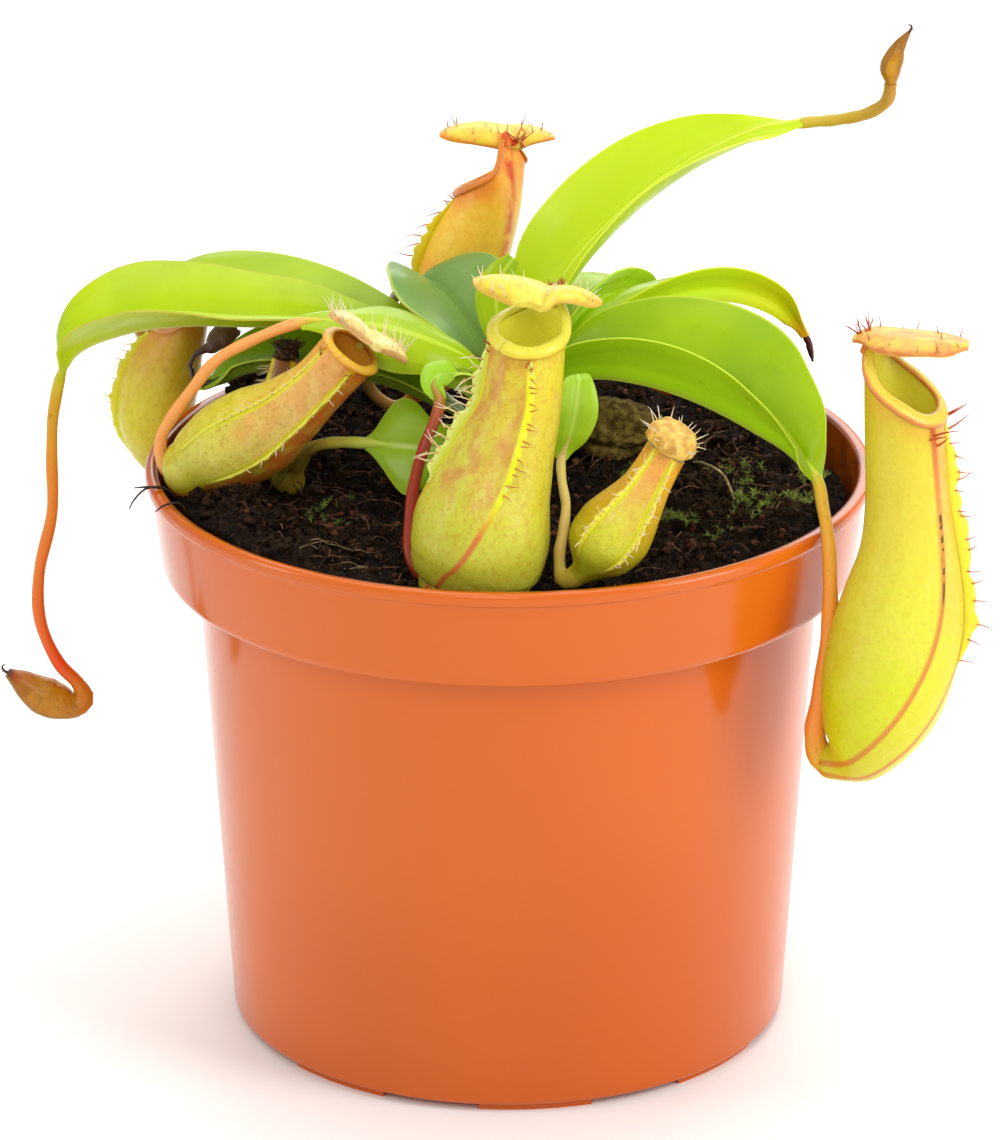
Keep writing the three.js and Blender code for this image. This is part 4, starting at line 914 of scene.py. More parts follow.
LID_PAINTS = {
    "yellow_lid": lid_paint("yellow_lid", 0xD8C840, 0xDCD450, 0xD08838, 0xC08834, 0xD4C448),
    "tan_lid": lid_paint("tan_lid", 0xE8D080, 0xF0DC98, 0xC07838, 0xB87840, 0xECD488),
    "red_lid": lid_paint("red_lid", 0xECBC48, 0xECC840, 0xD05028, 0xD4683C, 0xE4C85C),
    "pink_lid": lid_paint("pink_lid", 0xDCA050, 0xE0BC4C, 0xB84C2C, 0xC86C40, 0xE0D040),
    "tan_cap": dry_paint("tan_cap", 0xBC8C38, 0xE4BC58, 1.3, 0.5),
    "dried": dry_paint("dried_crown", 0x1A100C, 0x5A3C28, 0.7),
}
POT_PAINT = pot_paint()
PEAT_PAINT = peat_paint()
BARK_PAINT = dry_paint("bark", 0x403010, 0x705E2A, 1.5, 0.9, 0.1)
STEM_PAINT = dry_paint("stem_bark", 0x4E4A22, 0x8A8A3C, 1.5, 0.6)
FIBRE_PAINT = dry_paint("peat_fibre", 0x2A1810, 0x7A5034, 1.2, 0.8)
STRAW_PAINT = dry_paint("straw", 0x6A5434, 0xA89060, 1.2, 0.6)
ROOT_PAINT = dry_paint("root", 0x1A0F0A, 0x3A261A, 1.2, 0.7)
CRUMB_PAINT = dry_paint("peat_crumb", 0x120B06, 0x362416, 0.8, 0.95, 0.08)
CHIP_PAINT = dry_paint("bark_chip", 0x20100A, 0x6A3C24, 1.0, 0.85, 0.15)


def moss_paint():
    paint = flesh("moss", 0.6, 0.2)
    paint.color(paint.mix(paint.span(paint.noise(1.5, 3), 0.35, 0.65), 0x34460F, 0x84983A))
    return paint.material


MOSS_PAINT = moss_paint()


# Pot
def rounded(profile, sizes, steps=4):
    """A [radius, height] profile with its corners rounded to the sizes given."""
    points = [Vector((r, 0, z)) for r, z in profile]
    made = [points[0]]
    for before, corner, after, size in zip(points, points[1:], points[2:], sizes):
        back = corner + (before - corner).normalized() * min(size, (before - corner).length * 0.48)
        ahead = corner + (after - corner).normalized() * min(size, (after - corner).length * 0.48)
        for n in range(steps + 1):
            f = n / steps
            made.append(back.lerp(corner, f).lerp(corner.lerp(ahead, f), f))
    made.append(points[-1])
    return made


def spun(bm, places, turn=TAU, start=0.0, steps=144):
    """A profile turned about the upright axis."""
    verts = [bm.verts.new(place * MM) for place in places]
    edges = [bm.edges.new(pair) for pair in zip(verts, verts[1:])]
    bmesh.ops.rotate(bm, verts=verts, cent=(0, 0, 0), matrix=Matrix.Rotation(start, 3, "Z"))
    whole = abs(turn - TAU) < 1e-6
    made = bmesh.ops.spin(
        bm, geom=verts + edges, cent=(0, 0, 0), axis=(0, 0, 1), dvec=(0, 0, 0),
        angle=turn, steps=steps, use_merge=whole, use_duplicate=False,
    )
    return made["geom_last"]


def pot_shell():
    collar = POT_HEIGHT - COLLAR_DROP
    wall_top = collar - 0.6
    corners = [
        (0, FOOT_HEIGHT), (BASE_RADIUS, FOOT_HEIGHT), (BODY_TOP_RADIUS, collar),
        (COLLAR_LOW_RADIUS, collar), (RIM_RADIUS - 0.9, POT_HEIGHT - 2.5), (RIM_RADIUS, POT_HEIGHT - 2),
        (RIM_RADIUS, POT_HEIGHT), (RIM_RADIUS - 2.2, POT_HEIGHT), (RIM_RADIUS - 2.5, POT_HEIGHT - 2.4),
        (COLLAR_LOW_RADIUS - WALL, collar + 1.6), (BODY_TOP_RADIUS - WALL, collar + 1),
        (BODY_TOP_RADIUS - WALL, wall_top), (BASE_RADIUS - WALL, FOOT_HEIGHT + WALL),
        (0, FOOT_HEIGHT + WALL),
    ]
    sizes = [1.0, 0.9, 1.8, 0.5, 0.5, 0.9, 0.8, 0.6, 1.0, 0.5, 0.4, 0.9]
    bm = bmesh.new()
    spun(bm, rounded(corners, sizes))
    inner = layer_of(bm, "inner")
    for vert in bm.verts:
        reach, height = math.hypot(vert.co.x, vert.co.y) / MM, vert.co.z / MM
        middle = COLLAR_LOW_RADIUS - WALL / 2 + 0.13 * (height - collar)
        vert[inner] = float(height > collar + 1.2 and reach < middle)
    return bm


def pot_feet(bm):
    """Arc feet and a centre foot under the floor."""
    depth = FOOT_HEIGHT + WALL / 2
    half = FOOT_LENGTH / (FOOT_INNER_RADIUS + FOOT_OUTER_RADIUS)
    for n in range(FOOT_COUNT):
        angle = -math.pi / 2 + 0.1 + n * TAU / FOOT_COUNT
        corners = [(FOOT_INNER_RADIUS, 0), (FOOT_OUTER_RADIUS, 0), (FOOT_OUTER_RADIUS, depth), (FOOT_INNER_RADIUS, depth)]
        verts = [bm.verts.new(Vector((r, 0, z)) * MM) for r, z in corners]
        bmesh.ops.rotate(bm, verts=verts, cent=(0, 0, 0), matrix=Matrix.Rotation(angle - half, 3, "Z"))
        face = bm.faces.new(verts)
        swept = bmesh.ops.spin(
            bm, geom=[face, *face.edges, *verts], cent=(0, 0, 0), axis=(0, 0, 1), dvec=(0, 0, 0),
            angle=2 * half, steps=10,
        )
        if not any(isinstance(g, bmesh.types.BMFace) for g in swept["geom_last"]):
            raise ValueError("a foot is open")
    made = bmesh.ops.create_cone(
        bm, cap_ends=True, segments=40, radius1=CENTRE_FOOT_RADIUS * MM, radius2=CENTRE_FOOT_RADIUS * MM,
        depth=depth * MM,
    )["verts"]
    bmesh.ops.translate(bm, verts=made, vec=(0, 0, depth * MM / 2))


def drill(shell):
    """Cuts the drain holes through the floor."""
    bm = bmesh.new()
    for n in range(DRAIN_COUNT):
        angle = n * TAU / DRAIN_COUNT
        spot = Vector((math.cos(angle), math.sin(angle), 0)) * DRAIN_RING_RADIUS * MM
        made = bmesh.ops.create_cone(
            bm, cap_ends=True, segments=32, radius1=DRAIN_RADIUS * MM, radius2=DRAIN_RADIUS * MM, depth=12 * MM
        )["verts"]
        bmesh.ops.translate(bm, verts=made, vec=spot)
    mesh = bpy.data.meshes.new("drill")
    bm.to_mesh(mesh)
    bm.free()
    bits = bpy.data.objects.new("drill", mesh)
    bpy.context.scene.collection.objects.link(bits)
    cut = shell.modifiers.new("holes", "BOOLEAN")
    cut.operation = "DIFFERENCE"
    cut.solver = "EXACT"
    cut.object = bits
    settle(shell)
    bpy.data.objects.remove(bits)


def settle(made):
    """Applies a piece's modifiers to its mesh."""
    bpy.context.view_layer.update()
    mesh = bpy.data.meshes.new_from_object(made.evaluated_get(bpy.context.evaluated_depsgraph_get()))
    made.modifiers.clear()
    made.data = mesh


def build_pot():
    shell = piece("pot_shell", pot_shell(), POT_PAINT, ["pot"], sharp=35)
    drill(shell)
    bm = bmesh.new()
    pot_feet(bm)
    piece("pot_feet", bm, POT_PAINT, sharp=35)


# Soil
def soil_height(x, y):
    clods = 0.8 * math.sin(x / 4.1 + 1.3 * math.sin(y / 6.3)) * math.cos(y / 4.7 + 0.6)
    crumbs = 0.5 * math.sin((x - y) / 3.1)
    height = SOIL_LEVEL - 0.04 * y - 0.03 * x + clods + crumbs
    for u, v, radius, nest in NESTS:
        away = min(math.hypot(x - u, y - v) / radius, 1)
        height += (nest - height) * (1 - away * away) ** 0.7
    return height


def soil_top(x, y):
    """The soil's height with its lumps and grains."""
    lumps = 1.3 * rough((x, y, 0), 5.5, 1) + 1.4 * rough((x, y, 0), 2.6) + 1.1 * rough((x, y, 0), 1.1, 2)
    calm = min([1] + [clamp(math.hypot(x - u, y - v) / r) for u, v, r, _ in NESTS])
    reach = math.hypot(x, y) / (COLLAR_LOW_RADIUS - WALL)
    left, back, right = ease((-x - 22) / 20), ease((y - 26) / 18), ease((x - 26) / 18)
    bank = ease((reach - 0.66) / 0.26) * max(2.6 * left, 3.4 * back, 2.4 * right)
    kept = 1 - 0.6 * ease((reach - 0.9) / 0.1)
    for u, v, spread, rise in MOUNDS:
        bank += kept * rise * math.exp(-((x - u) ** 2 + (y - v) ** 2) / (2 * spread * spread))
    return soil_height(x, y) + lumps * (0.25 + 0.75 * calm) + bank


def build_soil():
    collar = POT_HEIGHT - COLLAR_DROP
    edge = COLLAR_LOW_RADIUS - WALL - 0.2
    count = 230
    rows = []
    for j in range(count + 1):
        row = []
        for i in range(count + 1):
            a, b = 2 * i / count - 1, 2 * j / count - 1
            x = a * math.sqrt(1 - b * b / 2)
            y = b * math.sqrt(1 - a * a / 2)
            reach = math.hypot(x, y)
            x, y = x * edge, y * edge
            z = soil_top(x, y) - 1.2 * ease((reach - 0.97) / 0.03)
            row.append(Vector((x, y, z)))
        rows.append(row)
    bm = bmesh.new()
    lay(bm, rows)
    rim = [e for e in bm.edges if e.is_boundary]
    floor = FOOT_HEIGHT + WALL + 0.3
    for share, height in ((0.995, collar + 2.5), (0.885, collar + 1), (0.795, floor)):
        made = bmesh.ops.extrude_edge_only(bm, edges=rim)["geom"]
        rim = [g for g in made if isinstance(g, bmesh.types.BMEdge) and g.is_boundary]
        for vert in {v for e in rim for v in e.verts}:
            flat = Vector((vert.co.x, vert.co.y, 0)).normalized() * edge * share * MM
            vert.co = (flat.x, flat.y, height * MM)
    bmesh.ops.contextual_create(bm, geom=rim)
    piece("soil_bed", bm, PEAT_PAINT, ["soil"])


def soil_spot(margin=1.5):
    """A random place on the soil, away from the edge."""
    reach = (COLLAR_LOW_RADIUS - WALL - margin) * math.sqrt(dice.random())
    angle = dice.uniform(0, TAU)
    x, y = reach * math.cos(angle), reach * math.sin(angle)
    return Vector((x, y, soil_top(x, y)))


def crumb(bm, spot, size):
    made = bmesh.ops.create_icosphere(bm, subdivisions=1, radius=1)["verts"]
    seed = dice.uniform(0, 50)
    stretch = Vector((dice.uniform(0.7, 1.5), dice.uniform(0.7, 1.3), dice.uniform(0.5, 0.9)))
    turn = Matrix.Rotation(dice.uniform(0, TAU), 3, (dice.random(), dice.random(), dice.random() + 0.1))
    for vert in made:
        swell = 1 + 0.7 * noise.noise(vert.co * 1.9 + Vector((seed, seed, 0)))
        vert.co = (spot + turn @ (vert.co * stretch * swell * size)) * MM


def in_lots(items, make, lot=60):
    """One mesh of many small shapes, made a lot at a time because that is quicker."""
    whole = bmesh.new()
    for first in range(0, len(items), lot):
        bm = bmesh.new()
        for item in items[first:first + lot]:
            make(bm, *item)
        mesh = bpy.data.meshes.new("lot")
        bm.to_mesh(mesh)
        bm.free()
        whole.from_mesh(mesh)
        bpy.data.meshes.remove(mesh)
    return whole


def build_crumbs():
    crumbs = [(soil_spot(), 0.25 + 1.1 * dice.random() ** 3) for _ in range(3600)]
    crumbs += [(soil_spot(6), dice.uniform(1.2, 1.9)) for _ in range(40)]
    for x, y, spread, rise in MOUNDS:
        for _ in range(110):
            u, v = x + dice.gauss(0, spread), y + dice.gauss(0, 0.7 * spread)
            if math.hypot(u, v) < 53:
                spot = Vector((u, v, soil_top(u, v) + 0.25 * dice.random() * rise))
                crumbs.append((spot, dice.uniform(0.4, 1.4)))
    piece("peat_crumbs", in_lots(crumbs, crumb), CRUMB_PAINT)
    chips = [(soil_spot(4) + Vector((0, 0, 0.3)), dice.uniform(0.3, 0.9)) for _ in range(520)]
    piece("bark_chips", in_lots(chips, crumb), CHIP_PAINT)


def fibre(bm, start, direction, length, radius, lift=0.5):
    side = square_to(Vector((dice.uniform(-1, 1), dice.uniform(-1, 1), 0.1)), direction)
    sway = dice.uniform(-0.35, 0.35) * length
    line = []
    for n in range(9):
        share = n / 8
        spot = start + direction * (length * share) + side * (sway * math.sin(math.pi * share))
        spot.z += lift * math.sin(math.pi * share) + 0.15 * rough((n * 2.0, length, 0), 1.5)
        line.append(spot)
    tube(bm, line, lambda t: radius * (1.05 - 0.5 * t), 5)


def build_fibres():
    fibres = []
    for _ in range(560):
        spot = soil_spot(6)
        angle = dice.uniform(0, TAU)
        way = Vector((math.cos(angle), math.sin(angle), dice.uniform(-0.15, 0.25))).normalized()
        fibres.append((spot + Vector((0, 0, 0.2)), way, dice.uniform(2, 7), dice.uniform(0.06, 0.16)))
    piece("peat_fibres", in_lots(fibres, fibre), FIBRE_PAINT)


def sprout(bm, spot, height, arms):
    """A moss shoot: a star of small pointed leaves on a short stalk."""
    top = spot + Vector((dice.uniform(-0.6, 0.6), dice.uniform(-0.6, 0.6), height))
    tube(bm, [spot - Vector((0, 0, 0.6)), spot.lerp(top, 0.5), top], lambda t: 0.1, 5)
    for n in range(arms):
        angle = n * 2.4
        rise = 0.25 + 0.75 * n / arms
        root = spot.lerp(top, 0.35 + 0.65 * n / arms)
        way = Vector((math.cos(angle), math.sin(angle), rise))
        hair(bm, root, way, dice.uniform(0.7, 1.6), 0.11, 0.3)


def build_moss():
    sprouts = []
    patches = [(28, -14.5, 2.6, 34), (41, -9, 4, 62), (47.5, -10, 3, 34), (51, 3, 3, 20), (38, 8, 5, 20),
               (22, 12, 4, 8), (-28, -19, 5, 14), (-12, -36, 5, 4), (34, -22, 4, 14)]
    for x, y, spread, count in patches:
        for _ in range(count):
            u, v = x + dice.gauss(0, spread / 2), y + dice.gauss(0, spread / 2)
            if math.hypot(u, v) < 53:
                sprouts.append((Vector((u, v, soil_top(u, v))), dice.uniform(0.4, 1.5), dice.randint(7, 11)))
    piece("moss", in_lots(sprouts, sprout, 12), MOSS_PAINT)


RIM_ROOTS = [
    [(-53, -11.5, 93), (-56.4, -12.8, 97), (-59.2, -13.8, 97.3), (-61.3, -14.3, 95.4), (-62, -14.6, 94)],
    [(-57, -13, 97.2), (-59.4, -13.6, 97.5), (-61.2, -13.2, 97.2)],
    [(-52, -19, 94), (-53.6, -19.9, 97), (-56, -21, 97.1), (-57.4, -21.8, 96.3)],
]


def build_litter():
    bm = bmesh.new()
    stalk = [(31, 10.5, 92.8), (32.5, 4, 95), (35.5, -2, 95.2), (37.5, -8, 92.4)]
    points = [Vector(p) for p in stalk]
    tube(bm, [on_line(points, n / 4) for n in range(13)], lambda t: 0.22, 6)
    stalk = [(-4, -47, 91.5), (2, -50, 92), (9, -51, 91.8), (14, -50.5, 91)]
    points = [Vector(p) for p in stalk]
    tube(bm, [on_line(points, n / 4) for n in range(13)], lambda t: 0.2, 6)
    for _ in range(12):
        x, y = -28 + dice.uniform(-6, 6), -38 + dice.uniform(-4, 4)
        angle = dice.uniform(-0.8, 0.5)
        way = Vector((math.cos(angle), math.sin(angle), 0))
        fibre(bm, Vector((x, y, soil_top(x, y) + 0.2)), way, dice.uniform(3, 6), 0.08, 0.6)
    piece("straw", bm, STRAW_PAINT)
    bm = bmesh.new()
    for root in RIM_ROOTS:
        points = [Vector(p) for p in root]
        steps = 6 * (len(points) - 1)
        tube(bm, [on_line(points, n / 6) for n in range(steps + 1)], lambda t: 0.28 - 0.18 * t, 6)
    piece("rim_roots", bm, ROOT_PAINT)


BARK_CENTRE = Vector((17, 20, 95))
BARK_SIZE = Vector((8, 6.5, 5))


def build_bark():
    bm = bmesh.new()
    made = bmesh.ops.create_icosphere(bm, subdivisions=5, radius=1)["verts"]
    for vert in made:
        x, y, z = vert.co
        lumps = 0.08 * math.sin(5 * x + 2 * z) * math.cos(4 * y)
        grain = 0.09 * noise.fractal(vert.co * 6, 0.6, 2.2, 5)
        swell = 1 + lumps + 0.06 * math.sin(9 * z + 3 * x) + grain
        vert.co = (BARK_CENTRE + vert.co * BARK_SIZE * swell) * MM
    piece("bark_chunk", bm, BARK_PAINT, ["bark_lump"])


def build_stem():
    bm = bmesh.new()
    line = [Vector((STEM[0], STEM[1], 74 + 41.5 * n / 24)) for n in range(25)]
    tube(bm, line, lambda t: 2.8 - 1.1 * ease((t - 0.75) * 4) + 0.12 * math.sin(40 * t), 28)
    piece("stem_core", bm, STEM_PAINT, ["stem"])


# Blades and lids
def blade_rows(route, shape, rows=70, half=13, flesh_half=BLADE_HALF):
    """The closed skin of a folded blade, and the values that its paint reads."""
    ridge = shape.get("keel", KEEL_DEPTH)
    widths, spread = shape["widths"], shape["spread"]
    sides = shape.get("side_widths", [widths, widths])
    reach = shape.get("reach", [1, 1])
    bow, wave = shape.get("bow", 0.06), shape.get("wave", 0.5)
    skin, across, under, rib = [], [], [], []
    for j in range(rows + 1):
        t = j / rows
        centre, along = route.at(t)
        width = max(smooth(widths, t), 1.0)
        fold = clamp((width - 1.6) / 3)
        left, right = [
            square_to(Vector(spread[0][side]).lerp(Vector(spread[1][side]), t), along) for side in (0, 1)
        ]
        flat = (right - left).normalized()
        normal = flat.cross(along).normalized()
        halves = [(-flat).lerp(left, fold).normalized(), flat.lerp(right, fold).normalized()]
        ups = [along.cross(halves[0]).normalized(), halves[1].cross(along).normalized()]
        thick = clamp(width / 3, 0.6, 1)
        row, marks, below, middle = [], [], [], []
        for face in (1, -1):
            places = [(0, 1 - k / half) for k in range(half)] + [(1, k / half) for k in range(half + 1)]
            for side, share in places if face > 0 else places[::-1]:
                out = max(smooth(sides[side], t), 1.0) * reach[side] * share
                near = math.exp(-((out / 0.9) ** 2))
                line = math.exp(-((out / clamp(width / 9, 0.3, 0.7)) ** 2))
                up = normal.lerp(ups[side], ease(out / 1.6)).normalized()
                arch = bow * fold * width * math.sin(math.pi * share)
                ripple = wave * fold * share * share * math.sin(9 * t + 2 * side)
                body = flesh_half * thick * math.sqrt(max(1 - share ** 6, 0.12))
                depth = body - 0.18 * near * fold if face > 0 else body + ridge * near * thick
                row.append(centre + halves[side] * out + up * (arch + ripple + face * depth))
                marks.append(share if side else -share)
                below.append(0.0 if face > 0 else 1.0)
                middle.append(line)
        skin.append(row + [row[0]])
        across.append(marks + [marks[0]])
        under.append(below + [below[0]])
        rib.append(middle + [middle[0]])
    lengths = [[j / rows] * len(skin[0]) for j in range(rows + 1)]
    fields = {"across": across, "under": under, "rib": rib, "along": lengths}
    return close_ends(skin), {key: double_ends(values) for key, values in fields.items()}


def close_ends(rows):
    """Adds a row at each end that draws the skin together at one place."""
    ends = []
    for row in (rows[0], rows[-1]):
        middle = sum(row, Vector()) / len(row)
        ends.append([middle.copy() for _ in row])
    return [ends[0], *rows, ends[1]]


def double_ends(rows):
    return [rows[0], *rows, rows[-1]]


def build_leaf(organ, points):
    route = Route(points, 0, len(organ["leaf"]) - 1 - organ.get("short", 0))
    rows, fields = blade_rows(route, organ, 80 if route.length > 40 else 50)
    bm = bmesh.new()
    lay(bm, rows, fields)
    paint = organ["paint"]
    name = organ["name"]
    piece("blade_" + name, bm, LEAF_PAINTS[paint], ["leaf_" + name])


def build_vine(organ, points, first, last):
    name = organ["name"]
    radii = organ.get("radii", TENDRIL_RADII)
    blade = Route(points, 0, first)
    route = Route(points, first, last)
    count = max(24, int(route.length / 0.9))
    lead = min(7 / blade.length, 0.35)
    swelling = (organ.get("cup_shape") or organ.get("bud_shape") or {"radii": [0]})["radii"][0]
    swelling = max(min(swelling, 2.6) - radii[-1], 0)
    line = [blade.at(1 - lead * (1 - n / 8))[0] for n in range(8)]
    line += [route.at(n / count)[0] for n in range(count + 1)]
    bm = bmesh.new()
    start = 8 / (len(line) - 1)
    flare = 1 - min(6 / route.length, 0.5)

    def wide(t):
        if t < start:
            return 0.15 + (radii[0] - 0.15) * (t / start) ** 1.5
        share = (t - start) / (1 - start)
        return (smooth(radii, share) + swelling * ease((share - flare) / (1 - flare))) * (1 + 0.05 * math.sin(31 * share))

    withered = organ.get("withered", 0)
    for vert in tube(bm, line, wide, 14):
        if withered:
            vert.co += Vector((1, 1, 1)) * (withered * MM * rough(vert.co / MM, 1.1))
    paint = vine_paint("vine_" + name + "_skin", organ["vine"])
    piece("vine_" + name, bm, paint, ["tendril_" + name])


# Pitchers
class Cup:
    """The shape of a pitcher: rings round a bent centre line, which lean to the plane of its mouth."""

    def __init__(self, points, first, last, shape, rows):
        self.shape = shape
        self.route = Route(points, first, last)
        self.rows = rows
        self.places = [self.route.at(n / rows) for n in range(rows + 1)]
        self.level = Vector(shape.get("mouth", (0, 0, 1))).normalized()
        self.open = "mouth" in shape
        ahead = square_to(Vector(shape.get("front", (0, -1, 0))), self.places[-1][1])
        self.fronts = [None] * (rows + 1)
        for n in range(rows, -1, -1):
            along = self.places[n][1]
            ahead = square_to(ahead, along)
            turn = shape.get("twist", 0) * max(0, 1 - n / rows / shape.get("twist_top", 0.55)) ** 2
            self.fronts[n] = Matrix.Rotation(turn, 3, along) @ ahead

    def lean(self, t):
        return clamp((t - 0.55) / 0.45) ** 1.5 if self.open else 0

    def axis(self, n):
        along = self.places[n][1]
        return along.lerp(self.level, self.lean(n / self.rows)).normalized()

    def radius(self, t, angle):
        stretch = self.shape.get("stretch", 1.1) if self.open else 1
        return smooth(self.shape["radii"], t) * (1 + (stretch - 1) * self.lean(t) * math.cos(angle) ** 2)

    def rise(self, t, angle):
        return self.shape.get("neck", 2) * self.lean(t) * max(0, -math.cos(angle)) ** self.shape.get("peak", 4)

    def spot(self, n, angle, out=0.0, up=0.0):
        """A place on the skin at row n, moved outwards and along the axis."""
        t = n / self.rows
        axis = self.axis(n)
        ahead = square_to(self.fronts[n], axis)
        spoke = ahead * math.cos(angle) + axis.cross(ahead) * math.sin(angle)
        radius = self.radius(t, angle) + out
        return self.places[n][0] + spoke * radius + axis * (self.rise(t, angle) + up)

    def outward(self, n, angle):
        return (self.spot(n, angle, 1) - self.spot(n, angle)).normalized()


WING_ANGLE = TAU / 8
WING_RISE = [0, 0.25, 0.55, 0.9, 1, 1, 0.8, 0.1]


def turn_between(angle, other):
    """The smallest turn between two angles."""
    return abs((angle - other + math.pi) % TAU - math.pi)


def swell(cup, t, angle):
    """The low ridge under each wing, and shallow dents that keep the skin from being a perfect surface."""
    radius = smooth(cup.shape["radii"], t)
    rise = smooth(WING_RISE, t) if cup.open else math.sin(math.pi * clamp(t))
    made = 0
    for wing in (cup.wing_angle, TAU - cup.wing_angle):
        away = turn_between(angle, wing) * radius
        made += cup.shape.get("ridge_height", 0.5) * rise * math.exp(-((away / 1.1) ** 2))
    dents = noise.noise(Vector((math.cos(angle) * radius / 5, math.sin(angle) * radius / 5, t * 6)))
    return made + 0.22 * dents * math.sin(math.pi * clamp(t))


def cup_values(cup, t, angle, inner):
    radius = smooth(cup.shape["radii"], t)
    wing = cup.wing_angle
    front = ease((wing - turn_between(angle, 0)) * radius / 1.4 + 0.5)
    away = min(turn_between(angle, wing), turn_between(angle, TAU - wing)) * radius
    ridge = math.exp(-((away / 0.75) ** 2)) * (1 - inner)
    flush = 0.4 * ease((t - 0.9) * 10)
    streak = turn_between(angle, math.pi) * radius
    flush += cup.shape.get("streak", 0) * math.exp(-((streak / 1.0) ** 2)) * (0.35 + 0.65 * ease(2.4 * t - 1.2))
    side = math.sin(angle) * cup.shape.get("flush_side", 0)
    flush += (1 - front) * ease(2 * side) * cup.shape.get("flush_share", 0.8) * (1 - inner)
    return {"height": clamp(t), "front": front, "ridge": ridge, "flush": clamp(flush), "inner": inner}


def add_ring(rows, fields, cup, n, out, up=0.0, inner=0.0, sides=64):
    t = n / cup.rows
    row = []
    values = {}
    for k in range(sides + 1):
        angle = (k % sides) * TAU / sides
        row.append(cup.spot(n, angle, out(t, angle), up))
        for name, value in cup_values(cup, t, angle, inner).items():
            values.setdefault(name, []).append(value)
    rows.append(row)
    for name, line in values.items():
        fields.setdefault(name, []).append(line)


def cup_body(cup, sides=72):
    """The outer skin up to the lip and the inner skin down to the floor, as one closed sheet."""
    rows, fields = [], {}
    start = cup.shape["radii"][0]
    for step in range(5, 0, -1):
        bend = step / 6 * math.pi / 2
        shrink, drop = -start * (1 - math.cos(bend)), -0.8 * start * math.sin(bend)
        add_ring(rows, fields, cup, 0, lambda t, angle: shrink, drop, sides=sides)
    for n in range(cup.rows + 1):
        add_ring(rows, fields, cup, n, lambda t, angle: swell(cup, t, angle), sides=sides)
    if cup.open:
        lowest = int(0.3 * cup.rows)
        for n in range(cup.rows, lowest, -2):
            add_ring(rows, fields, cup, n, lambda t, angle: -CUP_WALL, inner=1.0, sides=sides)
        for share in (0.85, 0.6, 0.3):
            radius = smooth(cup.shape["radii"], lowest / cup.rows)
            depth = -0.4 * radius * (1 - share)
            shrink = -(radius - (radius - CUP_WALL) * share)
            add_ring(rows, fields, cup, lowest, lambda t, angle: shrink, depth, 1.0, sides)
    rows = close_ends(rows)
    fields = {name: double_ends(lines) for name, lines in fields.items()}
    return rows, fields


def cup_lip(cup, sides=150, around=14):
    """The rolled lip: a thick rounded band round the mouth."""
    size, flat = cup.shape.get("lip", 1.0), cup.shape.get("lip_band", 0)
    n = cup.rows
    rows, turns, rounds = [], [], []
    for k in range(sides + 1):
        angle = (k % sides) * TAU / sides
        back = max(0, -math.cos(angle)) ** 2
        row, turn, share = [], [], []
        for m in range(around + 1):
            bend = (m % around) * TAU / around
            grow = size * (1 - 0.25 * back) * (1 + 0.05 * math.sin(5 * angle + 1))
            out = (-0.15 + 1.05 * math.cos(bend) - flat * (1 - math.cos(bend))) * grow
            up = (0.65 + 0.8 * math.sin(bend) - 0.45 * math.cos(bend)) * grow
            row.append(cup.spot(n, angle, out, up))
            turn.append(0.5 - 0.5 * math.cos(bend / 2) if m < around else 0.0)
            share.append(k / sides)
        rows.append(row)
        turns.append([abs(((m % around) / around + 0.12) % 1) for m in range(around + 1)])
        rounds.append(share)
    return rows, {"turn": turns, "round": rounds}


def ragged(t, seed):
    return 0.8 + 0.2 * math.sin(61 * t + seed) * math.sin(29 * t + 2 * seed) + 0.22 * rough((t * 90, seed, 0), 2.2)


def top_hairs(bm, cup, side, count, length):
    """Coarse hairs where a wing meets the lip."""
    angle = TAU - cup.wing_angle if side == 0 else cup.wing_angle
    for _ in range(count):
        n = int(cup.rows * dice.uniform(0.93, 1))
        way = cup.outward(n, angle) * 0.5 + cup.axis(n) * dice.uniform(0.4, 1.4)
        root = cup.spot(n, angle + dice.uniform(-0.12, 0.12))
        hair(bm, root, way, length * dice.uniform(0.6, 1.1), 0.15 + 0.02 * length, 0.2)


def wing_reach(cup, side, t):
    shape = cup.shape["wings"]
    reach = shape[side] if isinstance(shape, (tuple, list)) else shape
    rise = smooth(WING_RISE, t) if cup.open else math.sin(math.pi * t)
    rise *= ease((t - cup.shape.get("wing_low", 0.1)) * 8)
    return max(reach * rise * ragged(t, side + 1), 0.02)


def cup_wing(bm, cup, side):
    """A thin ragged flange up one side of the front."""
    angle = TAU - cup.wing_angle if side == 0 else cup.wing_angle
    first, last = int(cup.shape.get("wing_low", 0.1) * cup.rows), int(0.985 * cup.rows)
    rows, outs = [], []
    for n in range(first, last + 1):
        reach = wing_reach(cup, side, n / cup.rows)
        lean = (0.16 if side else -0.16) * reach
        row, values = [], []
        for face in (1, -1):
            shares = (0, 0.35, 0.7, 1) if face > 0 else (1, 0.7, 0.35, 0)
            for share in shares:
                half = 0.3 - 0.2 * share
                radius = max(cup.radius(n / cup.rows, angle), 1)
                shift = (lean * share + face * half) / radius
                row.append(cup.spot(n, angle + shift, 0.15 + reach * share))
                values.append(share)
        rows.append(row + [row[0]])
        outs.append(values + [values[0]])
    lay(bm, close_ends(rows), {"out": double_ends(outs)})


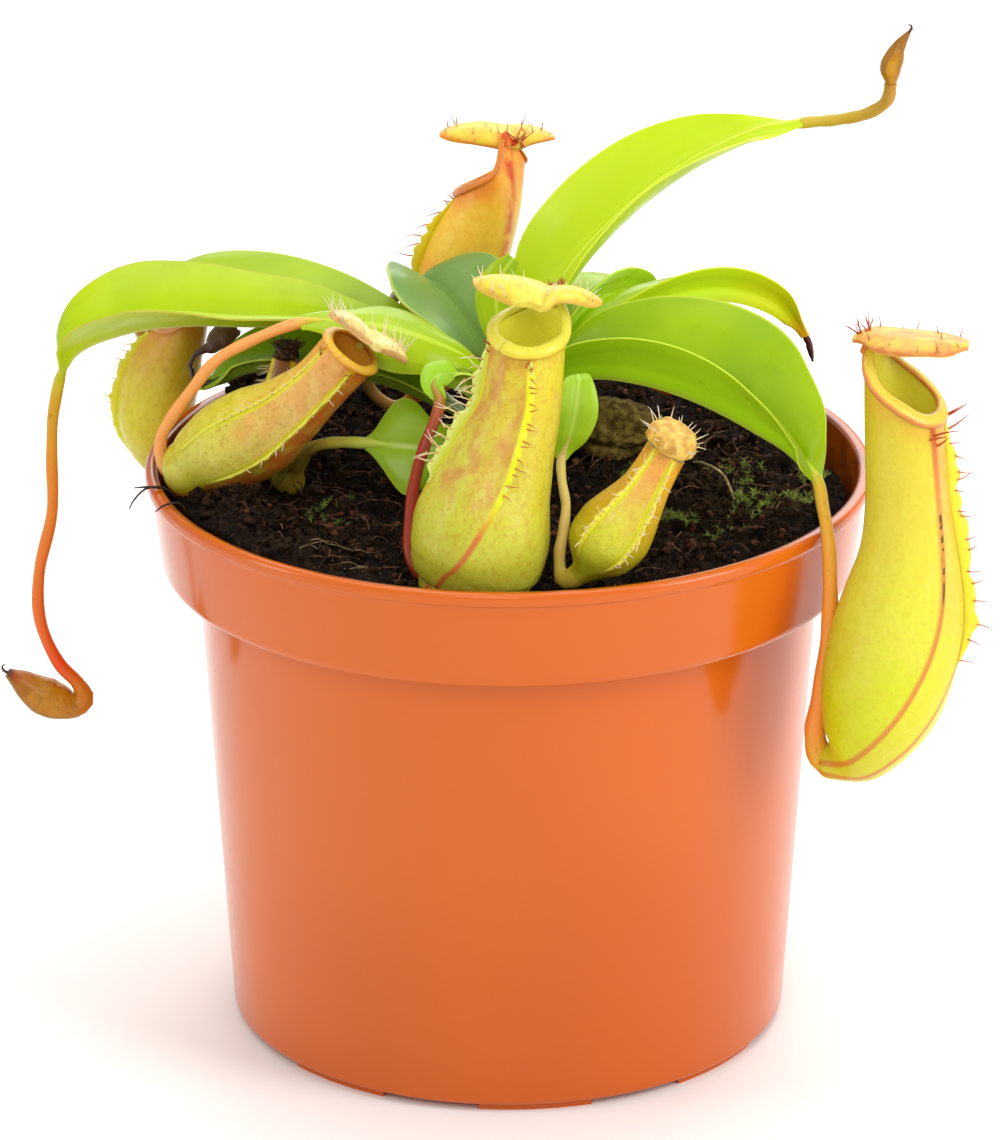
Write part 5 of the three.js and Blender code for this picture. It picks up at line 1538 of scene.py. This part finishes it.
def wing_hairs(bm, cup, side, count, low=0.3, length=2.3, fork=False, lean=0):
    """Stiff hairs along the edge of a wing."""
    angle = TAU - cup.wing_angle if side == 0 else cup.wing_angle
    for i in range(count):
        t = low + (0.93 - low) * (i + 0.5 + dice.uniform(-0.25, 0.25)) / count
        n = int(t * cup.rows)
        reach = wing_reach(cup, side, n / cup.rows)
        root = cup.spot(n, angle, 0.1 + reach)
        outward = cup.outward(n, angle)
        beside = cup.axis(n).cross(outward) * (lean if side else -lean)
        way = outward + beside + cup.places[n][1] * dice.uniform(-0.35, 0.5)
        long = length * dice.uniform(0.65, 1.25)
        hair(bm, root, way, long, 0.15, 0.35)
        if fork:
            spread = cup.axis(n) * dice.choice((-0.7, 0.7))
            hair(bm, root + way.normalized() * 0.4 * long, way + spread, 0.6 * long, 0.12, 0.3)


def build_cup(organ, points, first, last):
    name, shape = organ["name"], organ["cup_shape"]
    cup = Cup(points, first, last, shape, 84)
    cup.wing_angle = shape.get("wing_angle", WING_ANGLE)
    skin = shape["skin"]
    rows, fields = cup_body(cup)
    bm = bmesh.new()
    lay(bm, rows, fields)
    piece("cup_" + name, bm, CUP_PAINTS[skin], ["pitcher_" + name])
    rows, fields = cup_lip(cup)
    bm = bmesh.new()
    lay(bm, rows, fields)
    piece("lip_" + name, bm, LIP_PAINTS[skin])
    bm = bmesh.new()
    for side in (0, 1):
        if shape["wings"][side]:
            cup_wing(bm, cup, side)
    piece("wings_" + name, bm, WING_PAINTS.get(skin, WING_YELLOW))
    count, length = shape.get("top_hairs", (4, 1.8))
    bm = bmesh.new()
    for side in (0, 1):
        top_hairs(bm, cup, side, count, length)
    piece("top_hairs_" + name, bm, RED_HAIR)
    bm = bmesh.new()
    teeth, long = shape["teeth"], shape.get("tooth_length", (2.2, 2.2))
    low = shape.get("tooth_low", 0.3)
    wing_hairs(bm, cup, 0, teeth[0], low, length=long[0], fork=shape["wings"][0] > 2.2)
    if shape.get("dark_side"):
        piece("wing_hairs_" + name, bm, PALE_HAIR)
        bm = bmesh.new()
    wing_hairs(bm, cup, 1, teeth[1], low, length=long[1], lean=1.8 if shape.get("dark_side") else 0)
    red = shape.get("dark_side") or skin in ("lime_side", "orange_back")
    label = "ridge_hairs_" if shape.get("dark_side") else "wing_hairs_"
    piece(label + name, bm, RED_HAIR if red else PALE_HAIR)
    build_hinge(organ, cup)


def build_hinge(organ, cup):
    """The short neck that carries the lid behind the mouth."""
    points = [Vector(p) for p in organ["lid"]["line"]]
    start = cup.spot(cup.rows, math.pi, -0.3, -0.8)
    middle = cup.spot(cup.rows, math.pi, 0.35, 1.2)
    end = Route(points, 0, len(points) - 1).at(0.1)[0]
    bends = [start, middle.lerp(end, 0.1), middle.lerp(end, 0.55), end]
    line = [on_line(bends, 3 * n / 16) for n in range(17)]
    size = organ["lid"].get("neck", 1.0)
    bm = bmesh.new()
    tube(bm, line, lambda t: size * (1.3 - 0.6 * ease(1.6 * t) + 0.4 * ease(3 * t - 2)), 14)
    paint = NECK_PAINTS.get(organ["cup_shape"]["skin"], NECK_PAINT)
    piece("neck_" + organ["name"], bm, paint)


def build_bud(organ, points, first, last):
    name, shape = organ["name"], organ["bud_shape"]
    cup = Cup(points, first, last, shape, 60)
    cup.wing_angle = shape.get("wing_angle", WING_ANGLE)
    rows, fields = cup_body(cup, 56)
    bm = bmesh.new()
    lay(bm, rows, fields)
    piece("bud_skin_" + name, bm, CUP_PAINTS[organ["bud_skin"]], ["bud_" + name])
    if shape.get("teeth"):
        bm = bmesh.new()
        cup_wing(bm, cup, 0)
        cup_wing(bm, cup, 1)
        piece("wings_" + name, bm, WING_YELLOW)
        bm = bmesh.new()
        wing_hairs(bm, cup, 0, shape["teeth"], 0.2)
        wing_hairs(bm, cup, 1, shape["teeth"], 0.2)
        piece("wing_hairs_" + name, bm, PALE_HAIR)
    if organ["bud_skin"] == "brown_bud":
        end, along = cup.places[-1]
        side = square_to(Vector((0.2, -0.3, 1)), along)
        bm = bmesh.new()
        for turn, length in ((1, 1.6), (-0.4, 1.0), (0.3, 0.8)):
            curl = [end - along * 0.6, end + along * 0.4 * length, end + (along * 0.8 + side * 0.3 * turn) * length,
                    end + (along * 0.75 + side * 0.8 * turn) * length]
            line = [on_line(curl, n / 4) for n in range(13)]
            tube(bm, line, lambda t: 0.3 - 0.2 * t, 7)
        piece("curl_" + name, bm, DARK_HAIR)
    if shape.get("long_hairs"):
        bm = bmesh.new()
        for _ in range(shape["long_hairs"]):
            n = int(cup.rows * dice.uniform(0.55, 0.97))
            angle = dice.uniform(0, TAU)
            way = cup.outward(n, angle) + cup.places[n][1] * dice.uniform(-0.9, -0.1)
            hair(bm, cup.spot(n, angle), way, dice.uniform(1.6, 3.4), 0.11, 0.25)
        piece("long_hairs_" + name, bm, PALE_HAIR)


def build_lid(organ):
    name, spec = organ["name"], organ["lid"]
    points = [Vector(p) for p in spec["line"]]
    route = Route(points, 0, len(points) - 1)
    shape = {**spec, "bow": 0.1, "wave": 0.25, "keel": 0.3}
    rows, fields = blade_rows(route, shape, 40, 12, spec.get("half", 0.75))
    bm = bmesh.new()
    lay(bm, rows, fields)
    piece("cover_" + name, bm, LID_PAINTS[spec["skin"]], ["lid_" + name])
    bm = bmesh.new()
    for i in range(spec["hairs"]):
        t = 0.08 + 0.86 * dice.random()
        side = i % 2
        centre, along = route.at(t)
        out = square_to(Vector(spec["spread"][0][side]).lerp(Vector(spec["spread"][1][side]), t), along)
        reach = spec.get("reach", [1, 1])[side]
        share = 1 - 0.75 * dice.random() ** 2
        width = smooth(spec.get("side_widths", [spec["widths"]] * 2)[side], t)
        root = centre + out * (0.95 * share * reach * width)
        up = Vector((dice.uniform(-0.3, 0.3), dice.uniform(-0.3, 0.3), 1.3))
        if up.dot(out) < 0:
            root += Vector((0, 0, 0.8))
        hair(bm, root, out * 0.5 * share + up, dice.uniform(1.5, 3) * spec.get("hair_length", 1), 0.15, 0.25)
    piece("lid_hairs_" + name, bm, RED_HAIR if spec.get("red") else PALE_HAIR)
    bm = bmesh.new()
    hinge, along = route.at(0.08)
    count, length, spread = spec.get("spur", (9, 2.4, 0.8))
    for _ in range(count):
        way = Vector((dice.uniform(-0.8, 0.8), dice.uniform(-0.4, 0.4), 1)) - along * 0.5
        root = hinge + along * dice.uniform(-0.6, 0.8) + Vector((dice.uniform(-spread, spread), 0, 0))
        hair(bm, root, way, length * dice.uniform(0.6, 1.2), 0.17, 0.2)
    piece("spur_" + name, bm, RED_HAIR)


def build_cap(organ):
    name, spec = organ["name"], organ["cap"]
    along = Vector(spec["axis"]).normalized()
    foot = Vector(spec["foot"])
    ahead = square_to(Vector((0, -1, 0)), along)
    radii = [radius for radius, _ in spec["profile"]]
    heights = [height for _, height in spec["profile"]]
    rows = []
    for j in range(25):
        t = j / 24
        radius, height = smooth(radii, t), smooth(heights, t)
        wrinkle = lambda angle: radius * (1 + 0.16 * rough((4 * math.cos(angle), 4 * math.sin(angle), 4 * t), 1.4))
        rows.append(ring(foot + along * height, along, ahead, 40, wrinkle))
    bm = bmesh.new()
    lay(bm, close_ends(rows))
    piece("cap_" + name, bm, LID_PAINTS[spec["skin"]], ["lid_" + name])
    height, radius, length = spec["reach"]
    bm = bmesh.new()
    for i in range(spec["points"]):
        angle = i * TAU / spec["points"] + dice.uniform(-0.15, 0.15)
        spoke = ahead * math.cos(angle) + along.cross(ahead) * math.sin(angle)
        root = foot + along * (height * dice.uniform(0.7, 1.3)) + spoke * radius * 0.95
        hair(bm, root, spoke + along * dice.uniform(0.2, 1.2), length * dice.uniform(0.6, 1.1), 0.16, 0.25)
    piece("cap_hairs_" + name, bm, DARK_HAIR if spec["skin"] == "dried" else PALE_HAIR)


def build_organ(organ):
    route = organ.get("tendril", [])
    end = organ.get("cup") or organ.get("bud") or []
    points = [Vector(p) for p in [*organ["leaf"], *route, *end]]
    tip = len(organ["leaf"]) - 1
    neck = min(tip + 1 + len(route), len(points) - 1)
    build_leaf(organ, points)
    if route:
        build_vine(organ, points, tip - organ.get("short", 0), neck)
    if "cup" in organ:
        build_cup(organ, points, neck, len(points) - 1)
    if "bud" in organ:
        build_bud(organ, points, neck, len(points) - 1)
    if "lid" in organ:
        build_lid(organ)
    if "cap" in organ:
        build_cap(organ)


# Studio
def build_floor():
    bm = bmesh.new()
    bmesh.ops.create_grid(bm, x_segments=1, y_segments=1, size=4)
    mesh = bpy.data.meshes.new("floor")
    bm.to_mesh(mesh)
    bm.free()
    paint = Paint("floor_white", 0xF6F6F4, 0.9)
    mesh.materials.append(paint.material)
    floor = bpy.data.objects.new("floor", mesh)
    bpy.context.scene.collection.objects.link(floor)


def add_light(name, place, target, size, power, color=0xFFFFFF):
    data = bpy.data.lights.new(name, "AREA")
    data.shape = "RECTANGLE"
    data.size, data.size_y = size
    data.energy = power
    data.color = rgb(color)[:3]
    made = bpy.data.objects.new(name, data)
    made.location = place
    made.rotation_euler = (Vector(target) - Vector(place)).to_track_quat("-Z", "Y").to_euler()
    bpy.context.scene.collection.objects.link(made)


def build_lights():
    world = bpy.data.worlds.new("studio")
    world.use_nodes = True
    world.node_tree.nodes["Background"].inputs["Color"].default_value = rgb(0xFFFFFF)
    world.node_tree.nodes["Background"].inputs["Strength"].default_value = 0.62
    bpy.context.scene.world = world
    middle = (0, 0, 0.08)
    add_light("key", (0.95, -0.5, 0.6), middle, (0.5, 0.9), 8.5)
    add_light("front", (-0.15, -1.3, 1.0), middle, (0.5, 0.5), 5)
    add_light("fill", (-1.0, -0.25, 0.4), middle, (0.3, 0.8), 2.4)
    add_light("top", (0, 0.2, 1.1), middle, (0.8, 0.8), 5)
    add_light("back", (0.2, 0.9, 0.6), (0, 0, 0.12), (0.9, 0.5), 4)


CAMERA_DISTANCE = 1.212
CAMERA_TILT = math.radians(21.41)
CAMERA_TARGET = Vector((-0.0014, 0, 0.0776))
CAMERA_LENS = 230.3


def build_camera():
    data = bpy.data.cameras.new("camera")
    data.lens = CAMERA_LENS
    data.sensor_width = 36
    data.clip_start, data.clip_end = 0.05, 20
    camera = bpy.data.objects.new("camera", data)
    back = Vector((0, -math.cos(CAMERA_TILT), math.sin(CAMERA_TILT)))
    camera.location = CAMERA_TARGET + back * CAMERA_DISTANCE
    camera.rotation_euler = (math.pi / 2 - CAMERA_TILT, 0, 0)
    bpy.context.scene.collection.objects.link(camera)
    bpy.context.scene.camera = camera


build_pot()
build_soil()
build_crumbs()
build_fibres()
build_moss()
build_litter()
build_bark()
build_stem()
for organ in ORGANS:
    build_organ(organ)
build_floor()
build_lights()
build_camera()
bpy.context.scene.view_settings.view_transform = "Standard"
